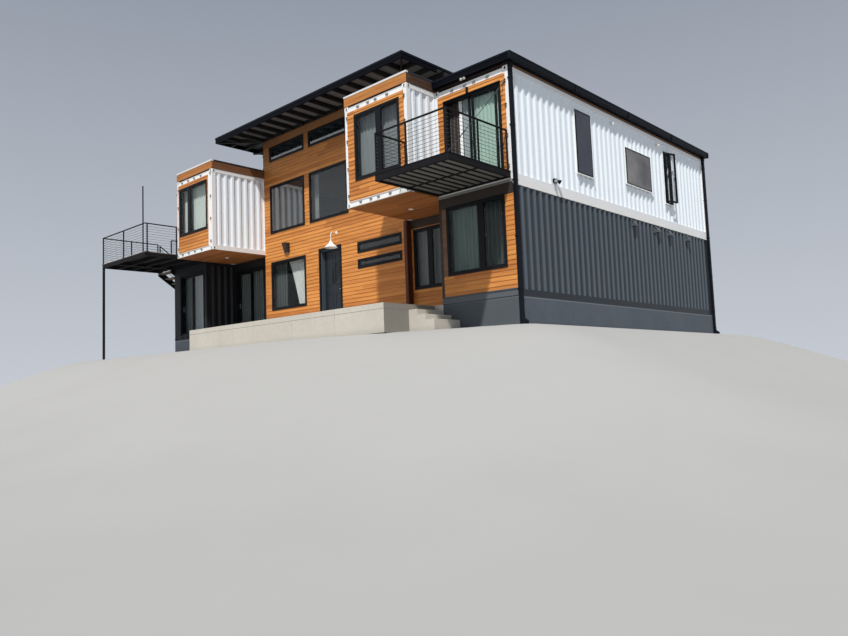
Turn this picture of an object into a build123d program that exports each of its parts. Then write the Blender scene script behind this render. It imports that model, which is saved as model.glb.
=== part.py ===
from build123d import *
import math
import os

os.makedirs("parts", exist_ok=True)

# A two-storey house made of shipping containers, in millimetres.
# X runs along the front, Y to the back and Z up. The front faces -Y.
# Z = 0 is the lowest ground, X = 0 the middle of the house, Y = 0 the middle of the containers.

# Containers and the room between the two stacks
CONT_W = 2438
CONT_L = 12192
CONT_H = 2896
GREAT_W = 7315
FOUND_H = 750

# How far each front stands behind the front of the right outer stack (negative is forward)
BAY_R_STEP = -1114
BAY_L_STEP = -976
GREAT_STEP = 1235
OUTER_L_STEP = 190

# Container frame and skin
POST = 150
BOTTOM_RAIL = 160
TOP_RAIL = 120
CASTING_H = 118
CASTING_PROUD = 4
RIB_PITCH = 278
RIB_DEPTH = 36
RIB_FLAT = 72
RIB_SLOPE = 68
SKIN_BACK = 8
WALL_T = 150
FLOOR_T = 160
SOFFIT_T = 30
JOINT = 0.5

# Timber walls of the middle room
GREAT_WALL_T = 200
WALL_SPLIT_Z = 2590
SOFFIT_Z = 7200

# Main roof
ROOF_OVER = 1230
ROOF_DECK_T = 40
RAFTER_H = 150
RAFTER_W = 60
RAFTER_PITCH = 610
FASCIA_H = 210
FASCIA_T = 45

# Low roofs
BAND_H = 75
LOW_FASCIA_H = 195
LOW_OVER = 125
PARAPET_H = 273
PARAPET_T = 60
CAP_H = 35
CAP_OVER = 20
ROOF_SKIN = 30
DRIP_H = 60
FASCIA_END = 1480

# Windows: (from, to, bottom, top), measured from the right outer corner and the container bottom
FRAME_BAR = 55
FRAME_D = 90
PANE_T = 24
GREAT_SET = 40
REAR_SET = 30
FRONT_SET = 25
SIDE_PROUD = 12
WIN_LOWER_R = (-2160, -290, 750, 2530)
WIN_RECESS_R = (-4740, -3470, 780, 2570)
WIN_BAY_R = (-4450, -2740, 3620, 5450)
WIN_BAY_L = (-14410, -12530, 3700, 5440)
DOOR_UPPER_R = (-2130, -240, 3060, 5440)
DOOR_OUTER_L = (-16590, -14810, 160, 2560)
DOOR_RECESS_L = (-14480, -12600, 160, 2560)
GREAT_WINDOWS = [
    (-11800, -9800, 6360, 6870),
    (-9480, -7480, 6360, 6870),
    (-11800, -9820, 3650, 5380),
    (-9480, -7500, 3650, 5380),
    (-11800, -9820, 800, 2530),
    (-7060, -5110, 2235, 2540),
    (-7060, -5110, 1725, 1975),
]
SIDE_WINDOWS = [(3130, 3970, 3620, 5450), (6060, 7750, 3830, 4985), (8785, 9375, 3640, 5430)]

# The last window of the right side stands open, hinged at its front edge
CASEMENT_ANGLE = 18
CASEMENT_T = 45
CASEMENT_BAR = 50
CASEMENT_LAP = 15
CASEMENT_BITE = 6

# Front door
DOOR_X = (-9010, -7950)
DOOR_TOP = 2540
DOOR_JAMB = 45
DOOR_SET = 150
DOOR_T = 45
DOOR_GAP = 8
DOOR_FLOOR_GAP = 10
HINGE_R = 8
HINGE_H = 100
HINGE_PLATE_T = 3
HINGE_IN = 200
JAMB_STEP = 20
FIT = 0.3

# Sliding doors
SLIDE_BAR = 60
SLIDE_FRAME_D = 130
SLIDE_LEAF_T = 40
SLIDE_LEAF_BAR = 55
SLIDE_GAP = 6
SLIDE_SET = 15
SLIDE_FACE = 15
ROLLER = 60
ROLLER_W = 20
ROLLER_IN = 100
UPPER_OPEN = 700

# Balcony
BALC_DEPTH = 2350
BALC_H = 170
BALC_Z = 2920
BALC_SIDE = 50
CHANNEL_W = 60
JOIST_W = 50
JOIST_H = 120
BALC_BAYS = 9
BOARD_T = 25
RAIL_H = 1050
STAY_D = 16
STAY_TOP = 5350
STAY_IN = 130
LUG = 40
RAIL_BAR = 40
CABLE = 8
CABLES = 10

# Deck over the left outer container
DECK_STEP = -2250
DECK_LEFT = 1130
DECK_BACK = 3660
DECK_Z = 3060
DECK_BAYS = 10
DECK_BEAM = 50
DECK_GAP = 15
DECK_POST = 75
LANDING_BACK = 60
POLE_D = 45
POLE_TOP = 5500

# Stair beside the left outer container
RISERS = 20
TREAD_RUN = 280
TREAD_T = 40
STRINGER_T = 45
STRINGER_H = 290
STAIR_CLEAR = 30

# Porch and steps
PORCH_FRONT = -1900
PORCH_RIGHT = -2750
STEP_RISE = 150
STEP_RUN = 290
STEP_W = 1000

# Trim
SPOUT = 75
SPOUT_D = 100
SPOUT_IN = 5
SPOUT_FOOT = 60
VENTS = [(6200, 6420), (7800, 8060), (8720, 8960), (10200, 10420)]
VENT_Z = (2520, 2690)
VENT_D = 100
HIGH_VENTS = (5216, 8316)
HIGH_VENT_W = 110
HIGH_VENT_Z = (5480, 5570)
HIGH_VENT_D = 70
FLOOD_Y = (1856, 1996)
FLOOD_Z = (3120, 3240)
FLOOD_D = 110
STEM = 40
EAVE_LAMP_X = (-1440, -1290)
EAVE_LAMP_Y = (-110, -20)
EAVE_LAMP_H = 70
HEADER_LAMP = (-1285, 5440, 150)
HEADER_LAMP_R = 35
HEADER_LAMP_OUT = 45
WALL_LAMP_X = (-10930, -10730)
WALL_LAMP_Z = (2780, 3120)
WALL_LAMP_D = (80, 200)
DECK_LAMP_OUT = 260
DECK_LAMP_Y = (250, 400)
DECK_LAMP_Z = (5300, 5440)
DOWNLIGHTS = ((-3810, 340), (-13470, 380))
DOWNLIGHT_R = 75
DOWNLIGHT_H = 8

# Shaded lamp over the front door
LAMP_X = -8130
LAMP_OUT = 260
LAMP_RIM_Z = 2530
LAMP_SHADE_H = 180
LAMP_RIM_R = 220
LAMP_NECK_R = 50
LAMP_ARM_Z = 3070
LAMP_ARM_R = 14
LAMP_PLATE_R = 60
LAMP_PLATE_T = 20
LOW = (Align.MIN, Align.MIN, Align.MIN)

# Places worked out from the sizes above
X_MID = GREAT_W / 2
X_IN = X_MID + CONT_W
X_OUT = X_IN + CONT_W
Y_FRONT = -CONT_L / 2
Y_BACK = CONT_L / 2
Z_BASE = FOUND_H
Z_JOIN = Z_BASE + CONT_H
Z_TOP = Z_JOIN + CONT_H
Z_EAVES = Z_BASE + SOFFIT_Z
Y_GREAT = Y_FRONT + GREAT_STEP
Y_BAY_R = Y_FRONT + BAY_R_STEP
Y_BAY_L = Y_FRONT + BAY_L_STEP
Y_REC = Y_GREAT + GREAT_WALL_T
Y_OUT_L = Y_FRONT + OUTER_L_STEP
Z_SPLIT = Z_BASE + WALL_SPLIT_Z


def block(x, y, z, mode=Mode.ADD):
    """Add or cut a box between the low and high values of x, y and z."""
    with Locations((x[0], y[0], z[0])):
        Box(x[1] - x[0], y[1] - y[0], z[1] - z[0], align=LOW, mode=mode)


def slab(run, along, across, z, mode=Mode.ADD):
    """Add or cut a box that runs along X or Y."""
    if run == "x":
        block(along, across, z, mode)
    else:
        block(across, along, z, mode)


def corrugated(run, along, outer, inner, z):
    """Add a wall with a plain inner face and trapezoid ribs on the outer one."""
    side = 1 if outer > inner else -1
    crest = outer
    trough = outer - side * RIB_DEPTH
    count = int((along[1] - along[0]) // RIB_PITCH)
    start = along[0] + (along[1] - along[0] - count * RIB_PITCH) / 2
    points = [(along[0], inner), (along[0], trough)]
    for i in range(count):
        foot = start + i * RIB_PITCH + (RIB_PITCH - RIB_FLAT - 2 * RIB_SLOPE) / 2
        points.append((foot, trough))
        points.append((foot + RIB_SLOPE, crest))
        points.append((foot + RIB_SLOPE + RIB_FLAT, crest))
        points.append((foot + 2 * RIB_SLOPE + RIB_FLAT, trough))
    points.append((along[1], trough))
    points.append((along[1], inner))
    if run == "y":
        points = [(b, a) for a, b in points]
    with BuildSketch(Plane.XY.offset(z[0])) as outline:
        with BuildLine():
            Polyline(*points, close=True)
        make_face()
    extrude(outline.sketch, amount=z[1] - z[0])


def window_x(window):
    """Return a front window's x pair, from the middle of the house."""
    return (X_OUT + window[0], X_OUT + window[1])


def window_z(window):
    """Return a window's z pair, from the ground."""
    return (Z_BASE + window[2], Z_BASE + window[3])


def side_y(window):
    """Return a side window's y pair."""
    return (Y_FRONT + window[0], Y_FRONT + window[1])


def window_frame(run, along, across, z, split=None):
    """Add a window frame, with an upright bar at split."""
    slab(run, along, across, z)
    inner = (along[0] + FRAME_BAR, along[1] - FRAME_BAR)
    height = (z[0] + FRAME_BAR, z[1] - FRAME_BAR)
    if split is None:
        slab(run, inner, across, height, Mode.SUBTRACT)
    else:
        slab(run, (inner[0], split - FRAME_BAR / 2), across, height, Mode.SUBTRACT)
        slab(run, (split + FRAME_BAR / 2, inner[1]), across, height, Mode.SUBTRACT)


def window_glass(run, along, across, z, split=None):
    """Add the panes that fill a window frame."""
    inner = (along[0] + FRAME_BAR, along[1] - FRAME_BAR)
    height = (z[0] + FRAME_BAR, z[1] - FRAME_BAR)
    middle = (across[0] + across[1]) / 2
    pane = (middle - PANE_T / 2, middle + PANE_T / 2)
    if split is None:
        slab(run, inner, pane, height)
    else:
        slab(run, (inner[0], split - FRAME_BAR / 2), pane, height)
        slab(run, (split + FRAME_BAR / 2, inner[1]), pane, height)


def corner_post(x, y, z, side):
    """Add a front post with a casting at each end, proud on the front and on the side given, or none for 0."""
    block(x, y, z)
    cast_x = (x[0] - CASTING_PROUD * (side < 0), x[1] + CASTING_PROUD * (side > 0))
    cast_y = (y[0] - CASTING_PROUD, y[1])
    block(cast_x, cast_y, (z[0], z[0] + CASTING_H))
    block(cast_x, cast_y, (z[1] - CASTING_H, z[1]))


def end_frame(x, y_face, z, left_side=-1):
    """Add the front frame of one container: two posts, the top beam and the sill."""
    y = (y_face, y_face + POST)
    corner_post((x[0], x[0] + POST), y, z, left_side)
    corner_post((x[1] - POST, x[1]), y, z, 1)
    inner = (x[0] + POST + JOINT, x[1] - POST - JOINT)
    block(inner, y, (z[0], z[0] + BOTTOM_RAIL))
    block(inner, y, (z[1] - TOP_RAIL, z[1]))


def side_rails(x, y, z):
    """Add the bottom and top rails of a container's long side."""
    block(x, y, (z[0], z[0] + BOTTOM_RAIL))
    block(x, y, (z[1] - TOP_RAIL, z[1]))


def door_wall(x, y_face, z, hole_x, hole_top):
    """Add the two side pieces and the head of an end wall around a door."""
    y = (y_face, y_face + WALL_T)
    block((x[0], hole_x[0]), y, z)
    block((hole_x[1], x[1]), y, z)
    block((hole_x[0] + JOINT, hole_x[1] - JOINT), y, (hole_top, z[1]))


def rail_panel(run, along, line, z, posts):
    """Add one side of a cable railing: posts, top rail and cables."""
    across = (line - RAIL_BAR / 2, line + RAIL_BAR / 2)
    wire = (line - CABLE / 2, line + CABLE / 2)
    slab(run, along, across, (z + RAIL_H - RAIL_BAR, z + RAIL_H))
    for i in range(posts):
        place = along[0] + i * (along[1] - along[0] - RAIL_BAR) / (posts - 1)
        slab(run, (place, place + RAIL_BAR), across, (z, z + RAIL_H - RAIL_BAR))
    for i in range(CABLES):
        height = z + (i + 1) * (RAIL_H - RAIL_BAR) / (CABLES + 1)
        slab(run, along, wire, (height - CABLE / 2, height + CABLE / 2))


# Ground works
porch_x = (-X_MID, X_OUT + PORCH_RIGHT)
porch_y = (Y_FRONT + PORCH_FRONT, Y_GREAT - JOINT)

with BuildPart() as foundation:
    block((X_IN + JOINT, X_OUT), (Y_FRONT, Y_BACK), (0, Z_BASE))
    block((-X_IN, X_IN), (Y_GREAT, Y_BACK), (0, Z_BASE))
    block((-X_OUT, -X_IN - JOINT), (Y_OUT_L, Y_BACK), (0, Z_BASE))
foundation.part.label = "foundation"
export_step(foundation.part, "parts/foundation.step")

with BuildPart() as porch:
    block(porch_x, porch_y, (0, Z_BASE))
    block((porch_x[1] + JOINT, X_IN), (Y_FRONT, porch_y[1]), (0, Z_BASE))
porch.part.label = "porch"
export_step(porch.part, "parts/porch.step")

with BuildPart() as porch_steps:
    step_y = (Y_FRONT - STEP_W, Y_FRONT - JOINT)
    for i in range(3):
        left = porch_x[1] + JOINT + i * STEP_RUN
        block((left, left + STEP_RUN - JOINT), step_y, (0, Z_BASE - (i + 1) * STEP_RISE))
porch_steps.part.label = "porch_steps"
export_step(porch_steps.part, "parts/porch_steps.step")

# Floors
right_out = (X_IN + JOINT, X_OUT - WALL_T)
rear_in = Y_BACK - WALL_T
floor_z = (Z_BASE, Z_BASE + FLOOR_T)
upper_z = (Z_JOIN, Z_JOIN + FLOOR_T)

with BuildPart() as ground_floor:
    block(right_out, (Y_FRONT + POST, rear_in), floor_z)
    block((X_MID, X_IN), (Y_REC + WALL_T, rear_in), floor_z)
    block((-X_MID + JOINT, X_MID - JOINT), (Y_REC, rear_in), floor_z)
    block((-X_IN, -X_MID), (Y_REC + WALL_T, rear_in), floor_z)
    block((-X_OUT + WALL_T, -X_IN - JOINT), (Y_OUT_L + POST, rear_in), floor_z)
ground_floor.part.label = "ground_floor"
export_step(ground_floor.part, "parts/ground_floor.step")

with BuildPart() as upper_floor:
    block(right_out, (Y_FRONT + POST, rear_in), upper_z)
    block((X_MID + WALL_T, X_IN - WALL_T), (Y_BAY_R + POST, rear_in), (Z_JOIN + SOFFIT_T, upper_z[1]))
    block((-X_MID + JOINT, X_MID - JOINT), (Y_REC, rear_in), upper_z)
    block((-X_IN + WALL_T, -X_MID - WALL_T), (Y_BAY_L + POST, rear_in), (Z_JOIN + SOFFIT_T, upper_z[1]))
upper_floor.part.label = "upper_floor"
export_step(upper_floor.part, "parts/upper_floor.step")

with BuildPart() as bay_soffits:
    block((X_MID + WALL_T, X_IN - WALL_T), (Y_BAY_R + POST, Y_REC + WALL_T), (Z_JOIN, Z_JOIN + SOFFIT_T))
    block((-X_IN + WALL_T, -X_MID - WALL_T), (Y_BAY_L + POST, Y_REC + WALL_T), (Z_JOIN, Z_JOIN + SOFFIT_T))
bay_soffits.part.label = "bay_soffits"
export_step(bay_soffits.part, "parts/bay_soffits.step")

# Container frames
lower_z = (Z_BASE, Z_JOIN)
high_z = (Z_JOIN, Z_TOP)
right_skin = (X_OUT - WALL_T, X_OUT)
side_run = (Y_FRONT + POST + JOINT, Y_BACK - POST - JOINT)
rear_post = (Y_BACK - POST, Y_BACK)

with BuildPart() as lower_right_frame:
    corner_post((X_OUT - POST, X_OUT), (Y_FRONT, Y_FRONT + POST), lower_z, 1)
    block((X_IN, X_OUT - POST - JOINT), (Y_FRONT, Y_FRONT + POST), (Z_BASE, Z_BASE + BOTTOM_RAIL))
    block((X_IN, X_OUT - POST - JOINT), (Y_FRONT, Y_FRONT + POST), (Z_JOIN - TOP_RAIL, Z_JOIN))
    side_rails(right_skin, side_run, lower_z)
    block((X_OUT - POST, X_OUT), rear_post, lower_z)
lower_right_frame.part.label = "lower_right_frame"
export_step(lower_right_frame.part, "parts/lower_right_frame.step")

with BuildPart() as upper_right_frame:
    end_frame((X_IN, X_OUT), Y_FRONT, high_z, 0)
    side_rails(right_skin, side_run, high_z)
    block((X_OUT - POST, X_OUT), rear_post, high_z)
upper_right_frame.part.label = "upper_right_frame"
export_step(upper_right_frame.part, "parts/upper_right_frame.step")

with BuildPart() as bay_frames:
    end_frame((X_MID, X_IN), Y_BAY_R, high_z)
    side_rails((X_IN - WALL_T, X_IN), (Y_BAY_R + POST + JOINT, rear_in), high_z)
    side_rails((X_MID, X_MID + WALL_T), (Y_BAY_R + POST + JOINT, rear_in), high_z)
    end_frame((-X_IN, -X_MID), Y_BAY_L, high_z)
    side_rails((-X_MID - WALL_T, -X_MID), (Y_BAY_L + POST + JOINT, rear_in), high_z)
    side_rails((-X_IN, -X_IN + WALL_T), (Y_BAY_L + POST + JOINT, rear_in - JOINT), high_z)
    block((-X_IN, -X_IN + POST), rear_post, high_z)
bay_frames.part.label = "bay_frames"
export_step(bay_frames.part, "parts/bay_frames.step")

with BuildPart() as lower_left_frame:
    end_frame((-X_OUT, -X_IN), Y_OUT_L, lower_z)
    side_rails((-X_OUT, -X_OUT + WALL_T), (Y_OUT_L + POST + JOINT, rear_in - JOINT), lower_z)
    block((-X_IN - WALL_T, -X_IN), (Y_OUT_L + POST + JOINT, rear_in), (Z_JOIN - TOP_RAIL, Z_JOIN))
    block((-X_OUT, -X_OUT + POST), rear_post, lower_z)
lower_left_frame.part.label = "lower_left_frame"
export_step(lower_left_frame.part, "parts/lower_left_frame.step")

# Corrugated walls of the lower storey
skin_run = (Y_FRONT + POST, Y_BACK - POST)
lower_skin_z = (Z_BASE + BOTTOM_RAIL, Z_JOIN - TOP_RAIL)
high_skin_z = (Z_JOIN + BOTTOM_RAIL, Z_TOP - TOP_RAIL)

with BuildPart() as lower_right_side_wall:
    corrugated("y", skin_run, X_OUT - SKIN_BACK, X_OUT - WALL_T, lower_skin_z)
lower_right_side_wall.part.label = "lower_right_side_wall"
export_step(lower_right_side_wall.part, "parts/lower_right_side_wall.step")

with BuildPart() as lower_left_side_wall:
    corrugated("y", (Y_OUT_L + POST, Y_BACK - POST), -X_OUT + SKIN_BACK, -X_OUT + WALL_T, lower_skin_z)
lower_left_side_wall.part.label = "lower_left_side_wall"
export_step(lower_left_side_wall.part, "parts/lower_left_side_wall.step")

with BuildPart() as recess_side_walls:
    corrugated("y", (Y_FRONT + POST, Y_REC + WALL_T), X_IN + JOINT, X_IN + WALL_T, (Z_BASE + FLOOR_T, Z_JOIN))
    corrugated("y", (Y_OUT_L + POST, Y_REC + WALL_T), -X_IN - SKIN_BACK, -X_IN - WALL_T, lower_skin_z)
recess_side_walls.part.label = "recess_side_walls"
export_step(recess_side_walls.part, "parts/recess_side_walls.step")

# Corrugated walls of the upper storey
with BuildPart() as upper_side_walls:
    corrugated("y", skin_run, X_OUT - SKIN_BACK, X_OUT - WALL_T, high_skin_z)
    for window in SIDE_WINDOWS:
        block(right_skin, side_y(window), window_z(window), Mode.SUBTRACT)
    corrugated("y", (Y_BAY_L + POST, rear_in), -X_IN + SKIN_BACK, -X_IN + WALL_T, high_skin_z)
    for window in SIDE_WINDOWS:
        block((-X_IN, -X_IN + WALL_T), side_y(window), window_z(window), Mode.SUBTRACT)
    corrugated("y", (Y_BAY_R + POST, Y_FRONT + WALL_T), X_IN - SKIN_BACK, X_IN - WALL_T, high_skin_z)
    corrugated("y", (Y_BAY_R + POST, Y_REC), X_MID + SKIN_BACK, X_MID + WALL_T, high_skin_z)
    corrugated("y", (Y_BAY_L + POST, Y_REC), -X_MID - SKIN_BACK, -X_MID - WALL_T, high_skin_z)
upper_side_walls.part.label = "upper_side_walls"
export_step(upper_side_walls.part, "parts/upper_side_walls.step")

# Rear walls
with BuildPart() as rear_end_walls:
    for z in (lower_z, high_z):
        corrugated("x", (X_MID + JOINT, X_OUT - POST), Y_BACK - SKIN_BACK, rear_in, (z[0], z[1] - JOINT))
    corrugated("x", (-X_OUT + POST, -X_MID - JOINT), Y_BACK - SKIN_BACK, rear_in, (Z_BASE, Z_JOIN - JOINT))
    corrugated("x", (-X_IN + POST, -X_MID - JOINT), Y_BACK - SKIN_BACK, rear_in, high_z)
rear_end_walls.part.label = "rear_end_walls"
export_step(rear_end_walls.part, "parts/rear_end_walls.step")

with BuildPart() as rear_great_wall:
    block((-X_MID, X_MID), (rear_in, Y_BACK), (Z_BASE, Z_EAVES))
    for window in GREAT_WINDOWS[:5]:
        block(window_x(window), (rear_in, Y_BACK), window_z(window), Mode.SUBTRACT)
rear_great_wall.part.label = "rear_great_wall"
export_step(rear_great_wall.part, "parts/rear_great_wall.step")

# Timber walls of the front
door_hole = (X_OUT + DOOR_X[0], X_OUT + DOOR_X[1])
with BuildPart() as entry_walls:
    block((-X_MID, door_hole[0]), (Y_GREAT, Y_REC), (Z_BASE, Z_SPLIT))
    block((door_hole[1], X_MID), (Y_GREAT, Y_REC), (Z_BASE, Z_SPLIT))
    for window in GREAT_WINDOWS[4:]:
        block(window_x(window), (Y_GREAT, Y_REC), window_z(window), Mode.SUBTRACT)
entry_walls.part.label = "entry_walls"
export_step(entry_walls.part, "parts/entry_walls.step")

with BuildPart() as great_wall:
    block((-X_MID, X_MID), (Y_GREAT, Y_REC), (Z_SPLIT, Z_EAVES))
    for window in GREAT_WINDOWS[:4]:
        block(window_x(window), (Y_GREAT, Y_REC), window_z(window), Mode.SUBTRACT)
great_wall.part.label = "great_wall"
export_step(great_wall.part, "parts/great_wall.step")

with BuildPart() as great_side_walls:
    block((X_MID - WALL_T, X_MID), (Y_REC, rear_in), (Z_TOP, Z_EAVES))
    block((-X_MID, -X_MID + WALL_T), (Y_REC, rear_in), (Z_TOP, Z_EAVES))
great_side_walls.part.label = "great_side_walls"
export_step(great_side_walls.part, "parts/great_side_walls.step")

with BuildPart() as lower_right_fronts:
    block((X_IN, X_OUT - POST), (Y_FRONT, Y_FRONT + WALL_T), lower_skin_z)
    block(window_x(WIN_LOWER_R), (Y_FRONT, Y_FRONT + WALL_T), window_z(WIN_LOWER_R), Mode.SUBTRACT)
    block((X_MID, X_IN), (Y_REC, Y_REC + WALL_T), lower_z)
    block(window_x(WIN_RECESS_R), (Y_REC, Y_REC + WALL_T), window_z(WIN_RECESS_R), Mode.SUBTRACT)
lower_right_fronts.part.label = "lower_right_fronts"
export_step(lower_right_fronts.part, "parts/lower_right_fronts.step")

with BuildPart() as upper_fronts:
    block((X_MID + POST, X_IN - POST), (Y_BAY_R, Y_BAY_R + WALL_T), high_skin_z)
    block(window_x(WIN_BAY_R), (Y_BAY_R, Y_BAY_R + WALL_T), window_z(WIN_BAY_R), Mode.SUBTRACT)
    block((-X_IN + POST, -X_MID - POST), (Y_BAY_L, Y_BAY_L + WALL_T), high_skin_z)
    block(window_x(WIN_BAY_L), (Y_BAY_L, Y_BAY_L + WALL_T), window_z(WIN_BAY_L), Mode.SUBTRACT)
    lintel = window_z(DOOR_UPPER_R)[1]
    door_wall((X_IN + POST, X_OUT - POST), Y_FRONT, high_skin_z, window_x(DOOR_UPPER_R), lintel)
upper_fronts.part.label = "upper_fronts"
export_step(upper_fronts.part, "parts/upper_fronts.step")

with BuildPart() as lower_left_fronts:
    lintel = window_z(DOOR_OUTER_L)[1]
    door_wall((-X_OUT + POST, -X_IN - POST), Y_OUT_L, lower_skin_z, window_x(DOOR_OUTER_L), lintel)
    hole = window_x(DOOR_RECESS_L)
    door_wall((-X_IN, -X_MID), Y_REC, lower_z, hole, window_z(DOOR_RECESS_L)[1])
    block((hole[0] + JOINT, hole[1] - JOINT), (Y_REC, Y_REC + WALL_T), floor_z)
lower_left_fronts.part.label = "lower_left_fronts"
export_step(lower_left_fronts.part, "parts/lower_left_fronts.step")

# Flat and low roofs
with BuildPart() as container_roofs:
    edge = PARAPET_T
    block((X_MID + edge, X_IN - edge), (Y_BAY_R + edge, Y_BACK - edge), (Z_TOP, Z_TOP + ROOF_SKIN))
    block((-X_IN + edge, -X_MID - edge), (Y_BAY_L + edge, Y_BACK - edge), (Z_TOP, Z_TOP + ROOF_SKIN))
    block((-X_OUT + WALL_T, -X_IN - WALL_T), (Y_OUT_L + POST, rear_in), (Z_JOIN - TOP_RAIL, Z_JOIN))
container_roofs.part.label = "container_roofs"
export_step(container_roofs.part, "parts/container_roofs.step")

parapet_z = (Z_TOP, Z_TOP + PARAPET_H)
with BuildPart() as parapets:
    for x, front in (((X_MID, X_IN), Y_BAY_R), ((-X_IN, -X_MID), Y_BAY_L)):
        block(x, (front, front + PARAPET_T), parapet_z)
        block(x, (Y_BACK - PARAPET_T, Y_BACK), parapet_z)
        run = (front + PARAPET_T + JOINT, Y_BACK - PARAPET_T - JOINT)
        block((x[0], x[0] + PARAPET_T), run, parapet_z)
        block((x[1] - PARAPET_T, x[1]), run, parapet_z)
    block((X_IN + JOINT, X_OUT), (Y_FRONT, Y_BACK), (Z_TOP, Z_TOP + BAND_H))
parapets.part.label = "parapets"
export_step(parapets.part, "parts/parapets.step")

cap_z = (parapet_z[1], parapet_z[1] + CAP_H)
with BuildPart() as parapet_caps:
    for x, front in (((X_MID, X_IN), Y_BAY_R), ((-X_IN, -X_MID), Y_BAY_L)):
        block((x[0] - CAP_OVER, x[1] + CAP_OVER), (front - CAP_OVER, front + PARAPET_T), cap_z)
        outer = x[0] - CAP_OVER if x[0] < 0 else x[1] + CAP_OVER
        inner = x[0] + PARAPET_T if x[0] < 0 else x[1] - PARAPET_T
        run = (front + PARAPET_T + JOINT, Y_BACK - PARAPET_T - JOINT)
        block((min(outer, inner), max(outer, inner)), run, cap_z)
        block((x[0], x[1]), (Y_BACK - PARAPET_T, Y_BACK + CAP_OVER), cap_z)
        outer = x[1] + CAP_OVER if x[0] < 0 else x[0] - CAP_OVER
        inner = x[1] - PARAPET_T if x[0] < 0 else x[0] + PARAPET_T
        block((min(outer, inner), max(outer, inner)), (run[0], Y_GREAT - JOINT), cap_z)
parapet_caps.part.label = "parapet_caps"
export_step(parapet_caps.part, "parts/parapet_caps.step")

low_roof_z = (Z_TOP + BAND_H, Z_TOP + BAND_H + LOW_FASCIA_H)
with BuildPart() as low_roof:
    block((X_IN, X_OUT + LOW_OVER), (Y_FRONT - LOW_OVER, Y_BACK + LOW_OVER), low_roof_z)
low_roof.part.label = "low_roof"
export_step(low_roof.part, "parts/low_roof.step")

# Main roof with its rafters under the overhang
roof_x = X_MID + ROOF_OVER
roof_y = (Y_GREAT - ROOF_OVER, Y_BACK + ROOF_OVER)
deck_z = (Z_EAVES + RAFTER_H, Z_EAVES + RAFTER_H + ROOF_DECK_T)
rafter_z = (Z_EAVES, Z_EAVES + RAFTER_H)
with BuildPart() as great_roof:
    block((-roof_x, roof_x), roof_y, deck_z)
    block((-X_MID, X_MID), (Y_GREAT, Y_BACK), rafter_z)
    for i in range(1, int(2 * roof_x // RAFTER_PITCH) + 1):
        middle = -roof_x + i * RAFTER_PITCH
        reach = min(ROOF_OVER, roof_x - abs(middle))
        if reach < RAFTER_W:
            continue
        bar = (middle - RAFTER_W / 2, middle + RAFTER_W / 2)
        block(bar, (roof_y[0], roof_y[0] + reach), rafter_z)
        block(bar, (roof_y[1] - reach, roof_y[1]), rafter_z)
    for i in range(1, int((roof_y[1] - roof_y[0]) // RAFTER_PITCH) + 1):
        middle = roof_y[0] + i * RAFTER_PITCH
        reach = min(ROOF_OVER, middle - roof_y[0], roof_y[1] - middle)
        if reach < RAFTER_W:
            continue
        bar = (middle - RAFTER_W / 2, middle + RAFTER_W / 2)
        block((-roof_x, -roof_x + reach), bar, rafter_z)
        block((roof_x - reach, roof_x), bar, rafter_z)
    for x, y, turn in ((-1, -1, 45), (1, -1, 135), (1, 1, 225), (-1, 1, 315)):
        corner = (x * (X_MID + ROOF_OVER / 2), Y_GREAT - ROOF_OVER / 2 if y < 0 else Y_BACK + ROOF_OVER / 2)
        with Locations(Location((corner[0], corner[1], Z_EAVES + RAFTER_H / 2), (0, 0, turn))):
            Box(ROOF_OVER * math.sqrt(2) - RAFTER_W, RAFTER_W, RAFTER_H)
great_roof.part.label = "great_roof"
export_step(great_roof.part, "parts/great_roof.step")

fascia_z = (Z_EAVES, Z_EAVES + FASCIA_H)
fascia_x = (roof_x + JOINT, roof_x + JOINT + FASCIA_T)
with BuildPart() as great_fascia:
    end = Y_FRONT + FASCIA_END
    block((-fascia_x[1], fascia_x[1]), (roof_y[0] - JOINT - FASCIA_T, roof_y[0] - JOINT), fascia_z)
    block((-fascia_x[1], fascia_x[1]), (roof_y[1] + JOINT, roof_y[1] + JOINT + FASCIA_T), fascia_z)
    block((-fascia_x[1], -fascia_x[0]), roof_y, fascia_z)
    block(fascia_x, (roof_y[0], end), fascia_z)
    block(fascia_x, (end + JOINT, roof_y[1]), (fascia_z[1] - DRIP_H, fascia_z[1]))
great_fascia.part.label = "great_fascia"
export_step(great_fascia.part, "parts/great_fascia.step")

# Window frames and glass
CONTAINER_WINDOWS = [
    (WIN_LOWER_R, Y_FRONT, -1040),
    (WIN_RECESS_R, Y_REC, -4105),
    (WIN_BAY_R, Y_BAY_R, -3520),
    (WIN_BAY_L, Y_BAY_L, -13750),
]
front_y = (Y_GREAT + GREAT_SET, Y_GREAT + GREAT_SET + FRAME_D)
back_y = (Y_BACK - REAR_SET - FRAME_D, Y_BACK - REAR_SET)
right_x = (X_OUT + SIDE_PROUD - FRAME_D, X_OUT + SIDE_PROUD)
left_x = (-X_IN - SIDE_PROUD, -X_IN - SIDE_PROUD + FRAME_D)

# Every window: the way it runs, its place along the wall, its depth, its height and its upright bar
windows = [("x", window_x(w), front_y, window_z(w), None) for w in GREAT_WINDOWS]
windows += [("x", window_x(w), back_y, window_z(w), None) for w in GREAT_WINDOWS[:5]]
windows += [("y", side_y(w), right_x, window_z(w), None) for w in SIDE_WINDOWS]
windows += [("y", side_y(w), left_x, window_z(w), None) for w in SIDE_WINDOWS]
for window, face, split in CONTAINER_WINDOWS:
    depth = (face + FRONT_SET, face + FRONT_SET + FRAME_D)
    windows.append(("x", window_x(window), depth, window_z(window), X_OUT + split))

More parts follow.
